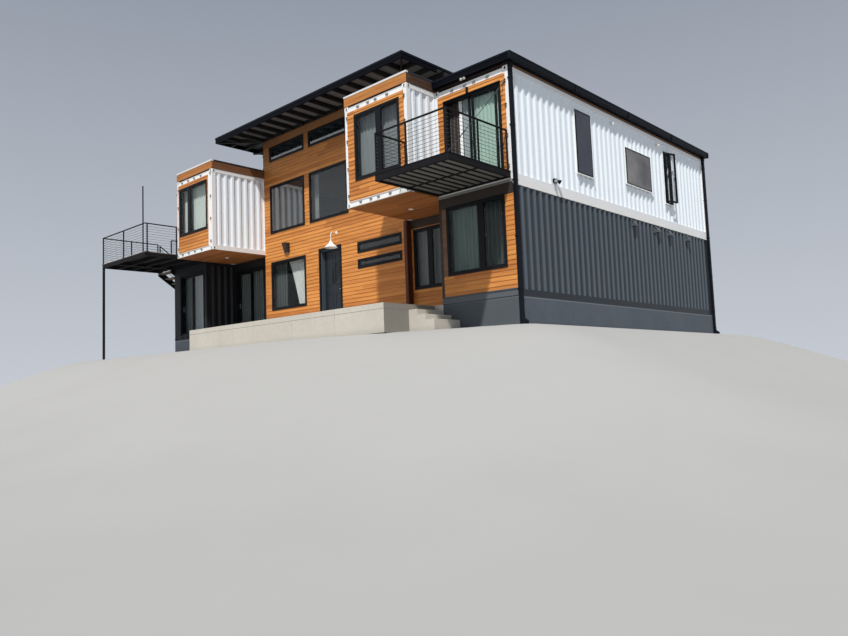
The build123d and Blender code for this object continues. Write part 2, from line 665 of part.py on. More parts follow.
open_window = SIDE_WINDOWS[-1]
sash_in = FRAME_BAR - CASEMENT_LAP
open_z = (window_z(open_window)[0] + sash_in, window_z(open_window)[1] - sash_in)
open_w = open_window[1] - open_window[0] - 2 * sash_in
open_hinge = (right_x[1] - CASEMENT_BITE, side_y(open_window)[0] + sash_in, open_z[0])
open_sash = Location(open_hinge, (0, 0, -CASEMENT_ANGLE))


def casement(bar, t, mode=Mode.ADD):
    """Add or cut a sheet t thick that stands bar inside the edges of the open window's sash."""
    with Locations(open_sash * Location(((CASEMENT_T - t) / 2, bar, bar))):
        Box(t, open_w - 2 * bar, open_z[1] - open_z[0] - 2 * bar, align=LOW, mode=mode)


with BuildPart() as window_frames:
    for window in windows:
        window_frame(*window)
    casement(0, CASEMENT_T)
    casement(CASEMENT_BAR, 2 * CASEMENT_T, Mode.SUBTRACT)
window_frames.part.label = "window_frames"
export_step(window_frames.part, "parts/window_frames.step")

with BuildPart() as window_panes:
    for window in windows:
        if window[1:3] != (side_y(open_window), right_x):
            window_glass(*window)
    casement(CASEMENT_BAR, PANE_T)
window_panes.part.label = "window_panes"
export_step(window_panes.part, "parts/window_panes.step")

# Front door
jamb_y = (Y_GREAT + JAMB_STEP, Y_GREAT + DOOR_SET + DOOR_T)
leaf_x = (door_hole[0] + DOOR_JAMB + DOOR_GAP, door_hole[1] - DOOR_JAMB - DOOR_GAP)
leaf_z = (Z_BASE + FLOOR_T + DOOR_FLOOR_GAP, Z_SPLIT - DOOR_JAMB - DOOR_GAP)
hinge_x = leaf_x[0] - DOOR_GAP / 2
hinge_y = jamb_y[1] + math.sqrt((HINGE_R + FIT) ** 2 - (DOOR_GAP / 2) ** 2)
with BuildPart() as front_door_frame:
    block((door_hole[0], door_hole[0] + DOOR_JAMB), jamb_y, (Z_BASE, Z_SPLIT))
    block((door_hole[1] - DOOR_JAMB, door_hole[1]), jamb_y, (Z_BASE, Z_SPLIT))
    between = (door_hole[0] + DOOR_JAMB + JOINT, door_hole[1] - DOOR_JAMB - JOINT)
    block(between, jamb_y, (Z_SPLIT - DOOR_JAMB, Z_SPLIT))
    block(between, (jamb_y[0], Y_REC), floor_z)
front_door_frame.part.label = "front_door_frame"
export_step(front_door_frame.part, "parts/front_door_frame.step")

leaf_mid = (leaf_z[0] + leaf_z[1]) / 2
with BuildPart() as front_door_hinges:
    for place in (leaf_z[0] + HINGE_IN, leaf_mid, leaf_z[1] - HINGE_IN):
        with Locations((hinge_x, hinge_y, place)):
            Cylinder(HINGE_R, HINGE_H)
        plate_z = (place - HINGE_H / 2, place + HINGE_H / 2)
        block((door_hole[0] + 10, hinge_x), (jamb_y[1], jamb_y[1] + HINGE_PLATE_T), plate_z)
front_door_hinges.part.label = "front_door_hinges"
export_step(front_door_hinges.part, "parts/front_door_hinges.step")

with BuildPart() as front_door:
    block(leaf_x, (jamb_y[1] - DOOR_T, jamb_y[1]), leaf_z)
front_door.part.label = "front_door"
export_step(front_door.part, "parts/front_door.step")


def slide_parts(window, face, floor):
    """Return the places of a sliding door: hole, frame depth, fixed leaf and moving leaf."""
    x = window_x(window)
    z = (floor, window_z(window)[1])
    y = (face + SLIDE_SET, face + SLIDE_SET + SLIDE_FRAME_D)
    middle = (x[0] + x[1]) / 2
    clear = (x[0] + SLIDE_BAR, x[1] - SLIDE_BAR)
    height = (z[0] + SLIDE_BAR, z[1] - SLIDE_BAR)
    fixed = (middle - SLIDE_LEAF_BAR / 2, clear[1] - JOINT)
    moving = (clear[0] + SLIDE_GAP, middle + SLIDE_LEAF_BAR / 2)
    fixed_y = (y[0] + SLIDE_FACE, y[0] + SLIDE_FACE + SLIDE_LEAF_T)
    moving_y = (y[1] - SLIDE_FACE - SLIDE_LEAF_T, y[1] - SLIDE_FACE)
    return x, y, z, clear, height, fixed, moving, fixed_y, moving_y


def slide_frame(window, face, floor):
    """Add a sliding door's frame and the frame of its fixed half."""
    x, y, z, clear, height, fixed, moving, fixed_y, moving_y = slide_parts(window, face, floor)
    block((x[0], x[0] + SLIDE_BAR), y, z)
    block((x[1] - SLIDE_BAR, x[1]), y, z)
    block((clear[0] + JOINT, clear[1] - JOINT), y, (z[0], height[0]))
    block((clear[0] + JOINT, clear[1] - JOINT), y, (height[1], z[1]))
    sash(fixed, fixed_y, (height[0] + JOINT, height[1] - JOINT))


def sash(x, y, z):
    """Add one leaf's frame, a plain ring."""
    bar = SLIDE_LEAF_BAR
    block(x, y, z)
    block((x[0] + bar, x[1] - bar), y, (z[0] + bar, z[1] - bar), Mode.SUBTRACT)


def sash_glass(x, y, z):
    """Add the pane of one leaf."""
    bar = SLIDE_LEAF_BAR
    middle = (y[0] + y[1]) / 2
    block((x[0] + bar, x[1] - bar), (middle - PANE_T / 2, middle + PANE_T / 2), (z[0] + bar, z[1] - bar))


def slide_leaf(window, face, floor, shift=0):
    """Add the moving leaf's ring and its rollers."""
    x, y, z, clear, height, fixed, moving, fixed_y, moving_y = slide_parts(window, face, floor)
    low = height[0] + SLIDE_GAP
    left = (moving[0] + shift, moving[1] + shift)
    sash(left, moving_y, (low, height[1] - SLIDE_GAP))
    middle = (moving_y[0] + moving_y[1]) / 2
    for place in (left[0] + ROLLER_IN, left[1] - ROLLER_IN - ROLLER):
        track = (middle - ROLLER_W / 2, middle + ROLLER_W / 2)
        block((place, place + ROLLER), track, (height[0] + FIT, low))


def slide_leaf_glass(window, face, floor, shift=0):
    """Add the moving leaf's pane."""
    x, y, z, clear, height, fixed, moving, fixed_y, moving_y = slide_parts(window, face, floor)
    left = (moving[0] + shift, moving[1] + shift)
    sash_glass(left, moving_y, (height[0] + SLIDE_GAP, height[1] - SLIDE_GAP))


LOW_FLOOR = Z_BASE + FLOOR_T
HIGH_FLOOR = Z_JOIN + FLOOR_T
SLIDERS = [
    (DOOR_OUTER_L, Y_OUT_L, LOW_FLOOR),
    (DOOR_RECESS_L, Y_REC, LOW_FLOOR),
    (DOOR_UPPER_R, Y_FRONT, HIGH_FLOOR),
]
with BuildPart() as sliding_door_frames:
    for window, face, floor in SLIDERS:
        slide_frame(window, face, floor)
    slide_leaf(DOOR_UPPER_R, Y_FRONT, HIGH_FLOOR, UPPER_OPEN)
sliding_door_frames.part.label = "sliding_door_frames"
export_step(sliding_door_frames.part, "parts/sliding_door_frames.step")

with BuildPart() as sliding_door_glass:
    for window, face, floor in SLIDERS:
        x, y, z, clear, height, fixed, moving, fixed_y, moving_y = slide_parts(window, face, floor)
        sash_glass(fixed, fixed_y, (height[0] + JOINT, height[1] - JOINT))
    slide_leaf_glass(DOOR_UPPER_R, Y_FRONT, HIGH_FLOOR, UPPER_OPEN)
sliding_door_glass.part.label = "sliding_door_glass"
export_step(sliding_door_glass.part, "parts/sliding_door_glass.step")

with BuildPart() as outer_slider:
    slide_leaf(DOOR_OUTER_L, Y_OUT_L, LOW_FLOOR)
outer_slider.part.label = "outer_slider"
export_step(outer_slider.part, "parts/outer_slider.step")

with BuildPart() as outer_slider_glass:
    slide_leaf_glass(DOOR_OUTER_L, Y_OUT_L, LOW_FLOOR)
outer_slider_glass.part.label = "outer_slider_glass"
export_step(outer_slider_glass.part, "parts/outer_slider_glass.step")

with BuildPart() as recess_slider:
    slide_leaf(DOOR_RECESS_L, Y_REC, LOW_FLOOR)
recess_slider.part.label = "recess_slider"
export_step(recess_slider.part, "parts/recess_slider.step")

with BuildPart() as recess_slider_glass:
    slide_leaf_glass(DOOR_RECESS_L, Y_REC, LOW_FLOOR)
recess_slider_glass.part.label = "recess_slider_glass"
export_step(recess_slider_glass.part, "parts/recess_slider_glass.step")

# Balcony
balc_x = (X_IN + SKIN_BACK, X_OUT - BALC_SIDE)
balc_y = (Y_FRONT - BALC_DEPTH, Y_FRONT - CASTING_PROUD)
balc_z = (Z_BASE + BALC_Z, Z_BASE + BALC_Z + BALC_H)
with BuildPart() as balcony_frame:
    inner_x = (balc_x[0] + CHANNEL_W, balc_x[1] - CHANNEL_W)
    inner_y = (balc_y[0] + CHANNEL_W, balc_y[1] - CHANNEL_W)
    block(balc_x, balc_y, balc_z)
    block(inner_x, inner_y, balc_z, Mode.SUBTRACT)
    under = (balc_z[1] - BOARD_T - JOIST_H, balc_z[1] - BOARD_T)
    pitch = (inner_x[1] - inner_x[0]) / BALC_BAYS
    for i in range(1, BALC_BAYS):
        middle = inner_x[0] + i * pitch
        block((middle - JOIST_W / 2, middle + JOIST_W / 2), inner_y, under)
    middle = (inner_y[0] + inner_y[1]) / 2
    block(inner_x, (middle - JOIST_W / 2, middle + JOIST_W / 2), under)
balcony_frame.part.label = "balcony_frame"
export_step(balcony_frame.part, "parts/balcony_frame.step")

with BuildPart() as balcony_floor:
    block(inner_x, inner_y, (balc_z[1] - BOARD_T, balc_z[1]))
balcony_floor.part.label = "balcony_floor"
export_step(balcony_floor.part, "parts/balcony_floor.step")

rail_in = RAIL_BAR / 2 + 5
with BuildPart() as balcony_railing:
    rail_panel("x", balc_x, balc_y[0] + rail_in, balc_z[1], 3)
    side = (balc_y[0] + rail_in + RAIL_BAR / 2 + JOINT, balc_y[1])
    rail_panel("y", side, balc_x[1] - rail_in, balc_z[1], 3)
    rail_panel("y", (side[0], Y_BAY_R - CASTING_PROUD), balc_x[0] + rail_in, balc_z[1], 2)
balcony_railing.part.label = "balcony_railing"
export_step(balcony_railing.part, "parts/balcony_railing.step")

# Stay rod from the upper corner post to the balcony's outer corner
stay_x = X_OUT - STAY_IN
lug_x = (stay_x - LUG / 2, stay_x + LUG / 2)
stay_low = (balc_y[0] + CHANNEL_W + LUG / 2, balc_z[1] + LUG / 2)
stay_high = (Y_FRONT - LUG / 2, Z_BASE + STAY_TOP)
stay_len = math.hypot(stay_high[0] - stay_low[0], stay_high[1] - stay_low[1])
stay_lean = math.degrees(math.atan2(stay_high[0] - stay_low[0], stay_high[1] - stay_low[1]))
with BuildPart() as balcony_stay:
    block(lug_x, (stay_low[0] - LUG / 2, stay_low[0] + LUG / 2), (balc_z[1], balc_z[1] + LUG))
    block(lug_x, (Y_FRONT - LUG, Y_FRONT), (stay_high[1] - LUG / 2, stay_high[1] + LUG / 2))
    with Locations(Location((stay_x, stay_low[0], stay_low[1]), (-stay_lean, 0, 0))):
        Cylinder(STAY_D / 2, stay_len, align=(Align.CENTER, Align.CENTER, Align.MIN))
balcony_stay.part.label = "balcony_stay"
export_step(balcony_stay.part, "parts/balcony_stay.step")

# Deck over the left outer container, with a landing at the head of the stair
deck_right = -X_IN - DECK_GAP
deck_y = (Y_FRONT + DECK_STEP, Y_FRONT + DECK_BACK)
landing_y = (deck_y[0], Y_FRONT + LANDING_BACK)
landing_x = (-X_OUT - DECK_LEFT, -X_OUT - JOINT)
deck_top = Z_BASE + DECK_Z
frame_z = (Z_JOIN, deck_top - BOARD_T)
DECK_AREAS = [((-X_OUT, deck_right), deck_y, DECK_BAYS), (landing_x, landing_y, 4)]
with BuildPart() as deck_frame:
    for x, y, bays in DECK_AREAS:
        block(x, y, frame_z)
        inner_x = (x[0] + DECK_BEAM, x[1] - DECK_BEAM)
        pitch = (y[1] - y[0] - DECK_BEAM) / bays
        for i in range(bays):
            low = y[0] + DECK_BEAM + i * pitch
            block(inner_x, (low, low + pitch - DECK_BEAM), frame_z, Mode.SUBTRACT)
deck_frame.part.label = "deck_frame"
export_step(deck_frame.part, "parts/deck_frame.step")

with BuildPart() as deck_boards:
    for x, y, bays in DECK_AREAS:
        block(x, y, (frame_z[1], deck_top))
deck_boards.part.label = "deck_boards"
export_step(deck_boards.part, "parts/deck_boards.step")

with BuildPart() as deck_railing:
    front = deck_y[0] + rail_in
    step_in = RAIL_BAR / 2 + JOINT
    rail_panel("x", (landing_x[0], deck_right), front, deck_top, 4)
    rail_panel("y", (front + step_in, Y_BAY_L - CASTING_PROUD), deck_right - rail_in, deck_top, 2)
    rail_panel("y", (front + step_in, landing_y[1]), landing_x[0] + rail_in, deck_top, 3)
    rail_panel("y", (landing_y[1], deck_y[1]), -X_OUT + rail_in, deck_top, 4)
    inner = (-X_OUT + rail_in + step_in, deck_right)
    rail_panel("x", inner, deck_y[1] - rail_in, deck_top, 3)
deck_railing.part.label = "deck_railing"
export_step(deck_railing.part, "parts/deck_railing.step")

with BuildPart() as deck_posts:
    block((landing_x[0], landing_x[0] + DECK_POST), (deck_y[0], deck_y[0] + DECK_POST), (0, Z_JOIN))
    with Locations((deck_right - 80, deck_y[0] + 80, deck_top)):
        Cylinder(POLE_D / 2, POLE_TOP - DECK_Z, align=(Align.CENTER, Align.CENTER, Align.MIN))
deck_posts.part.label = "deck_posts"
export_step(deck_posts.part, "parts/deck_posts.step")

# Stair down the left side
stair_x = (landing_x[0], -X_OUT - STAIR_CLEAR)
stair_y = landing_y[1]
riser = deck_top / RISERS
slope = riser / TREAD_RUN


def nosing(y):
    """Return the height of the line over the tread edges."""
    return deck_top - slope * (y - stair_y)


with BuildPart() as stair_stringers:
    foot = stair_y + deck_top / slope
    heel = stair_y + (deck_top - STRINGER_H) / slope
    corners = [(stair_y, deck_top), (foot, 0), (heel, 0), (stair_y, deck_top - STRINGER_H)]
    for x in (stair_x[0], stair_x[1] - STRINGER_T):
        with BuildSketch(Plane.YZ.offset(x)) as side_view:
            with BuildLine():
                Polyline(*corners, close=True)
            make_face()
        extrude(side_view.sketch, amount=STRINGER_T)
stair_stringers.part.label = "stair_stringers"
export_step(stair_stringers.part, "parts/stair_stringers.step")

tread_x = (stair_x[0] + STRINGER_T, stair_x[1] - STRINGER_T)
with BuildPart() as stair_treads:
    for i in range(RISERS - 1):
        top = deck_top - (i + 1) * riser
        low = stair_y + i * TREAD_RUN + JOINT
        block(tread_x, (low, low + TREAD_RUN), (top - TREAD_T, top))
stair_treads.part.label = "stair_treads"
export_step(stair_treads.part, "parts/stair_treads.step")

with BuildPart() as stair_railing:
    ends = (stair_y + 60, foot - TREAD_RUN)
    posts = [ends[0] + i * (ends[1] - ends[0] - RAIL_BAR) / 4 for i in range(5)]
    rows = [(low, low + RAIL_BAR, 0, RAIL_H) for low in posts]
    rows.append((*ends, RAIL_H - RAIL_BAR, RAIL_H))
    rows += [(*ends, k * RAIL_H / 6, k * RAIL_H / 6 + CABLE) for k in range(1, 6)]
    for a, b, low, high in rows:
        points = [(a, nosing(a) + low), (b, nosing(b) + low), (b, nosing(b) + high), (a, nosing(a) + high)]
        with BuildSketch(Plane.YZ.offset(stair_x[0])) as side_view:
            with BuildLine():
                Polyline(*points, close=True)
            make_face()
        extrude(side_view.sketch, amount=RAIL_BAR)
stair_railing.part.label = "stair_railing"
export_step(stair_railing.part, "parts/stair_railing.step")

# Trim on the walls
with BuildPart() as downspouts:
    spout_x = (X_OUT + CASTING_PROUD, X_OUT + CASTING_PROUD + SPOUT)
    for low in (Y_FRONT + SPOUT_IN, Y_BACK - SPOUT_IN - SPOUT_D):
        block(spout_x, (low, low + SPOUT_D), (SPOUT_FOOT, low_roof_z[0]))
downspouts.part.label = "downspouts"
export_step(downspouts.part, "parts/downspouts.step")

wall_face = X_OUT - SKIN_BACK


def on_side(depth, y, z):
    """Add a block that stands out from the right wall's ribs."""
    low, high = (0, depth) if depth > 0 else (depth, 0)
    place = (Y_FRONT + y[0], Y_FRONT + y[1])
    block((wall_face + low, wall_face + high), place, (Z_BASE + z[0], Z_BASE + z[1]))


with BuildPart() as vent_hoods:
    for pair in VENTS:
        on_side(VENT_D, pair, VENT_Z)
    for low in HIGH_VENTS:
        on_side(HIGH_VENT_D, (low, low + HIGH_VENT_W), HIGH_VENT_Z)
    middle = HIGH_VENTS[0] + HIGH_VENT_W / 2
    on_side(-RIB_DEPTH, (middle - STEM / 2, middle + STEM / 2), HIGH_VENT_Z)
vent_hoods.part.label = "vent_hoods"
export_step(vent_hoods.part, "parts/vent_hoods.step")

with BuildPart() as outside_lights:
    on_side(FLOOD_D, FLOOD_Y, FLOOD_Z)
    middle = (FLOOD_Y[0] + FLOOD_Y[1]) / 2
    on_side(-RIB_DEPTH, (middle - STEM / 2, middle + STEM / 2), FLOOD_Z)
    lamp_x = (X_OUT + EAVE_LAMP_X[0], X_OUT + EAVE_LAMP_X[1])
    lamp_y = (Y_FRONT + EAVE_LAMP_Y[0], Y_FRONT + EAVE_LAMP_Y[1])
    block(lamp_x, lamp_y, (low_roof_z[0] - EAVE_LAMP_H, low_roof_z[0]))
    lamp_y = (Y_BAY_L + DECK_LAMP_Y[0], Y_BAY_L + DECK_LAMP_Y[1])
    lamp_z = (Z_BASE + DECK_LAMP_Z[0], Z_BASE + DECK_LAMP_Z[1])
    block((-X_IN - DECK_LAMP_OUT, -X_IN + SKIN_BACK), lamp_y, lamp_z)
    for x, back in DOWNLIGHTS:
        with Locations((X_OUT + x, Y_FRONT + back, Z_JOIN)):
            Cylinder(DOWNLIGHT_R, DOWNLIGHT_H, align=(Align.CENTER, Align.CENTER, Align.MAX))
    lamp = (X_OUT + HEADER_LAMP[0], Y_FRONT - HEADER_LAMP_OUT, Z_BASE + HEADER_LAMP[1])
    with Locations(lamp):
        Cylinder(HEADER_LAMP_R, HEADER_LAMP[2], align=(Align.CENTER, Align.CENTER, Align.MIN))
    arm_z = lamp[2] + HEADER_LAMP[2] / 2
    block((lamp[0] - STEM / 4, lamp[0] + STEM / 4), (lamp[1], Y_FRONT), (arm_z - STEM / 2, arm_z + STEM / 2))
    low, high = (Z_BASE + value for value in WALL_LAMP_Z)
    wedge = [(Y_GREAT, low), (Y_GREAT, high), (Y_GREAT - WALL_LAMP_D[1], high), (Y_GREAT - WALL_LAMP_D[0], low)]
    with BuildSketch(Plane.YZ.offset(X_OUT + WALL_LAMP_X[0])) as side_view:
        with BuildLine():
            Polyline(*wedge, close=True)
        make_face()
    extrude(side_view.sketch, amount=WALL_LAMP_X[1] - WALL_LAMP_X[0])
outside_lights.part.label = "outside_lights"
export_step(outside_lights.part, "parts/outside_lights.step")

lamp_x = X_OUT + LAMP_X
lamp_y = Y_GREAT - LAMP_OUT
arm_z = Z_BASE + LAMP_ARM_Z
rim_z = Z_BASE + LAMP_RIM_Z
UP = (Align.CENTER, Align.CENTER, Align.MIN)
with BuildPart() as barn_light:
    with Locations(Location((lamp_x, Y_GREAT, arm_z), (90, 0, 0))):
        Cylinder(LAMP_PLATE_R, LAMP_PLATE_T, align=UP)
        Cylinder(LAMP_ARM_R, LAMP_OUT, align=UP)
    with Locations((lamp_x, lamp_y, rim_z)):
        Cone(LAMP_RIM_R, LAMP_NECK_R, LAMP_SHADE_H, align=UP)
    with Locations((lamp_x, lamp_y, rim_z + LAMP_SHADE_H - FIT)):
        Cylinder(LAMP_ARM_R, arm_z - rim_z - LAMP_SHADE_H + FIT + LAMP_ARM_R, align=UP)
barn_light.part.label = "barn_light"
export_step(barn_light.part, "parts/barn_light.step")
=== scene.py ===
import math
import random

import bmesh
import bpy
from mathutils import Matrix, Vector


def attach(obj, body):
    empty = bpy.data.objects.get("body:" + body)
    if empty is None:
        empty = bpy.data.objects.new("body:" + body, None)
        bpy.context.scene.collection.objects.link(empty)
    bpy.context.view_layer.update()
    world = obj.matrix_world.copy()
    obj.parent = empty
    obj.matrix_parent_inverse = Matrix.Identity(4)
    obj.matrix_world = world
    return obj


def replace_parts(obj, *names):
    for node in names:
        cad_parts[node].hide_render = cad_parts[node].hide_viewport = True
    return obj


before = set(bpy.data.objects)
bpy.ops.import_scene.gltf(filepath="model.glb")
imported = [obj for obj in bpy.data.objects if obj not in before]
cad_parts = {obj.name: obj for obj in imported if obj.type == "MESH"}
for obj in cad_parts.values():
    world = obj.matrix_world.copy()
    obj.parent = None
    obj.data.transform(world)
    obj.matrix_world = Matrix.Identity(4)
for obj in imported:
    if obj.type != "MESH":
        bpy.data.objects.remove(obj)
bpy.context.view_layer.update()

# Planes of the CAD model in metres. x: side of the middle room, joint of the containers, outer side
XM, XI, XO = 3.6575, 6.0955, 8.5335
# y: front and back of the long containers, front of the middle room, front of the recesses beside it
YF, YB, YG, YR = -6.096, 6.096, -4.861, -4.661
# y: front of the right bay, of the left bay and of the outer left container
YBR, YBL, YOL = -7.21, -7.072, -5.906
# z: ground floor, joint of the storeys, top of the containers, eaves, foot of the boards under the eaves
ZB, ZJ, ZT, ZE, ZF = 0.75, 3.646, 6.542, 7.95, 7.69
# Side of a corner post. Foot of the lowest row of boards, height of a row, length of a board
POST = 0.15
ROW, PITCH, BOARD = 0.778, 0.1225, 4.4
# Each bay: from and to in x, and its front
BAYS = ((XM, XI), YBR), ((-XI, -XM), YBL)


def times(colour, k):
    return tuple(c * k for c in colour)


def blend(a, b, k, m):
    return tuple(p * k + q * m for p, q in zip(a, b))


class Shade:
    """Builds one procedural material."""

    def __init__(self, name, rough=0.5, metal=0.0, spec=0.3):
        self.m = bpy.data.materials.new(name)
        self.m.use_nodes = True
        self.t = self.m.node_tree
        self.b = self.t.nodes["Principled BSDF"]
        self.b.inputs["Roughness"].default_value = rough
        self.b.inputs["Metallic"].default_value = metal
        self.b.inputs["Specular IOR Level"].default_value = spec
        self.pos = self.add("ShaderNodeTexCoord").outputs["Object"]

    def add(self, kind, inputs=None, **values):
        """A new node; inputs gives a value or a link for its sockets, by name or number."""
        n = self.t.nodes.new(kind)
        for k, v in values.items():
            setattr(n, k, v)
        for k, v in (inputs or {}).items():
            self.fill(n.inputs[k], v)
        return n

    def fill(self, socket, value):
        if isinstance(value, bpy.types.NodeSocket):
            self.t.links.new(value, socket)
        else:
            socket.default_value = value

    def math(self, op, a, b=0.0):
        return self.add("ShaderNodeMath", {0: a, 1: b}, operation=op).outputs[0]

    def mul(self, a, b):
        return self.math("MULTIPLY", a, b)

    def over(self, a, b):
        return self.math("GREATER_THAN", a, b)

    def stripe(self, value, pitch, share):
        """1 on the first share of each pitch, 0 on the rest."""
        return self.math("LESS_THAN", self.math("FRACT", self.math("DIVIDE", value, pitch)), share)

    def scaled(self, *scale):
        return self.add("ShaderNodeMapping", {"Vector": self.pos, "Scale": scale}).outputs[0]

    def noise(self, scale, detail=3.0, rough=0.55, vector=None, warp=0.0):
        return self.add("ShaderNodeTexNoise", {
            "Vector": vector or self.pos, "Scale": scale, "Detail": detail, "Roughness": rough,
            "Distortion": warp}).outputs["Fac"]

    def xyz(self, vector=None):
        return self.add("ShaderNodeSeparateXYZ", {0: vector or self.pos}).outputs

    def normal(self):
        return self.xyz(self.add("ShaderNodeNewGeometry").outputs["True Normal"])

    def join(self, *parts):
        return self.add("ShaderNodeCombineXYZ", dict(enumerate(parts))).outputs[0]

    def white(self, vector):
        noise = self.add("ShaderNodeTexWhiteNoise", {"Vector": vector}, noise_dimensions="3D")
        return noise.outputs["Value"]

    def ramp(self, fac, stops):
        n = self.add("ShaderNodeValToRGB", {0: fac})
        e = n.color_ramp.elements
        while len(e) < len(stops):
            e.new(0.5)
        for el, (p, c) in zip(e, stops):
            el.position = p
            el.color = (*c, 1)
        return n.outputs[0]

    def mask(self, fac, low, high):
        return self.add("ShaderNodeMapRange", {0: fac, 1: low, 2: high}).outputs[0]

    def mix(self, fac, a, b, how="MIX"):
        a, b = ((*v, 1) if isinstance(v, tuple) else v for v in (a, b))
        return self.add("ShaderNodeMix", {0: fac, 6: a, 7: b}, data_type="RGBA", blend_type=how).outputs[2]

    def tint(self, base, colour):
        return self.mix(1.0, base, colour, "MULTIPLY")

    def runs(self):
        """Streaks that run down a wall."""
        return self.mask(self.noise(1.0, 4, 0.6, self.scaled(9, 9, 0.55)), 0.52, 0.8)

    def bump(self, height, strength=0.3, dist=0.01):
        n = self.add("ShaderNodeBump", {"Strength": strength, "Distance": dist, "Height": height})
        normal = self.b.inputs["Normal"]
        if normal.links:
            self.fill(n.inputs["Normal"], normal.links[0].from_socket)
        self.fill(normal, n.outputs[0])

    def colour(self, c):
        self.fill(self.b.inputs["Base Color"], c)

    def rough(self, fac, low, high):
        spread = self.add("ShaderNodeMapRange", {0: fac, 3: low, 4: high})
        self.fill(self.b.inputs["Roughness"], spread.outputs[0])


def timber(name, run="x", pitch=PITCH, up="z", start=0.0, length=BOARD, light=(0.64, 0.265, 0.066),
           dark=(0.4, 0.135, 0.03), inner=None, rough=0.55, lap_shade=0.0, behind=(0.66, 0.64, 0.6)):
    """Oiled boards: one tone for each board, grain along it, some knots; painted shade at the laps and under
    the eaves.
    """
    s = Shade(name, rough, spec=0.25)
    p = s.xyz()
    i = {"x": 0, "y": 1, "z": 2}
    place = s.math("DIVIDE", s.math("SUBTRACT", p[i[up]], start), pitch)
    row = s.math("FLOOR", place)
    shift = s.mul(s.white(s.join(row)), length)
    col = s.math("FLOOR", s.math("DIVIDE", s.math("ADD", p[i[run]], shift), length))
    cell = s.join(row, col)
    stretch = [1.1 if k == i[run] else 26 for k in range(3)]
    lift = s.add("ShaderNodeVectorMath", {0: cell, "Scale": 3.7}, operation="SCALE").outputs[0]
    moved = s.add("ShaderNodeVectorMath", {0: s.scaled(*stretch), 1: lift}, operation="ADD").outputs[0]
    grain = s.noise(1.0, 5, 0.6, moved, 0.6)
    fine = s.noise(4.0, 3, 0.6, moved)
    bright = tuple(min(1, v * 1.08) for v in light)
    base = s.ramp(s.white(cell), [
        (0.0, blend(light, dark, 0.35, 0.65)), (0.22, blend(light, dark, 0.6, 0.4)),
        (0.6, light), (1.0, bright)])
    veined = s.mix(s.mask(grain, 0.42, 0.74), base, s.tint(base, (0.7, 0.56, 0.46)))
    knots = s.add("ShaderNodeTexVoronoi", {
        "Vector": s.scaled(*(1.2 if k == i[run] else 3.4 for k in range(3))), "Scale": 1.0})
    spot = s.mask(knots.outputs["Distance"], 0.05, 0.02)
    tinted = s.mix(s.mul(spot, 0.6), veined, (0.12, 0.04, 0.014))
    weathered_and_shaded = s.mix(s.mul(s.mask(s.noise(0.7, 4), 0.5, 0.8), 0.22), tinted, times(dark, 0.6))
    # Painted shadow: a dark line at the foot of each row of boards, for the shade along each lap.
    if lap_shade:
        line = s.mask(s.math("FRACT", place), lap_shade, lap_shade * 0.4)
        weathered_and_shaded = s.mix(s.mul(line, 0.45), weathered_and_shaded, times(dark, 0.35))
    # Painted shade: upright boards darken from z 6.2 to 7.5 for the shade under the eaves.
    if up == "z":
        weathered_and_shaded = s.mix(s.mul(s.mask(p[2], 6.2, 7.5), 0.66), weathered_and_shaded, s.tint(weathered_and_shaded, (0.3, 0.32, 0.34)))
    if inner:
        side = s.mul(s.normal()[i[inner[1]]], 1.0 if inner[0] == "+" else -1.0)
        weathered_and_shaded = s.mix(s.over(side, 0.5), weathered_and_shaded, behind)
    s.colour(weathered_and_shaded)
    s.rough(fine, rough - 0.08, rough + 0.16)
    s.bump(grain, 0.25, 0.002)
    return s.m


def paint(name, colour, rough=0.45, dirt=0.12, rust=0.0, streak=0.25, dark=(0.25, 0.24, 0.22), wave=0.0012,
          spec=0.3, rib_shade=None):
    """Sprayed steel: slight waviness, dust, streaks that run down, and rust chips; painted shade and
    highlight on ribs.
    """
    s = Shade(name, rough, spec=spec)
    cloud = s.noise(1.3, 5, 0.6)
    base = s.mix(s.mul(s.mask(cloud, 0.35, 0.75), dirt), colour, blend(colour, dark, 0.62, 0.25))
    base = s.mix(s.mul(s.runs(), streak), base, times(colour, 0.72))
    if rust:
        chips = s.mask(s.noise(16.0, 6, 0.7), 0.73 - rust * 0.1, 0.76 - rust * 0.1)
        near = s.mask(s.noise(2.1, 3), 0.5, 0.62)
        tones = s.ramp(s.noise(40, 3), [(0.3, (0.07, 0.025, 0.012)), (0.7, (0.26, 0.1, 0.04))])
        base = s.mix(s.mul(chips, near), base, tones)
        drip = s.mask(s.noise(1.0, 3, 0.5, s.scaled(34, 34, 1.4)), 0.66, 0.8)
        base = s.mix(s.mul(s.mul(drip, near), 0.35 * rust), base, (0.33, 0.19, 0.1))
    # Painted light: the ribs darker in their troughs and lighter on their crests.
    if rib_shade:
        trough_shade, bright = (s.tint(base, (v,) * 3) for v in (0.38, 1.22))
        base = s.mix(s.mask(s.xyz()[0], *rib_shade), trough_shade, bright)
    s.colour(base)
    s.rough(cloud, rough - 0.06, rough + 0.16)
    s.bump(s.noise(5.0, 2), 0.35, wave)
    s.bump(s.noise(180.0, 2), 0.06, 0.0006)
    return s.m


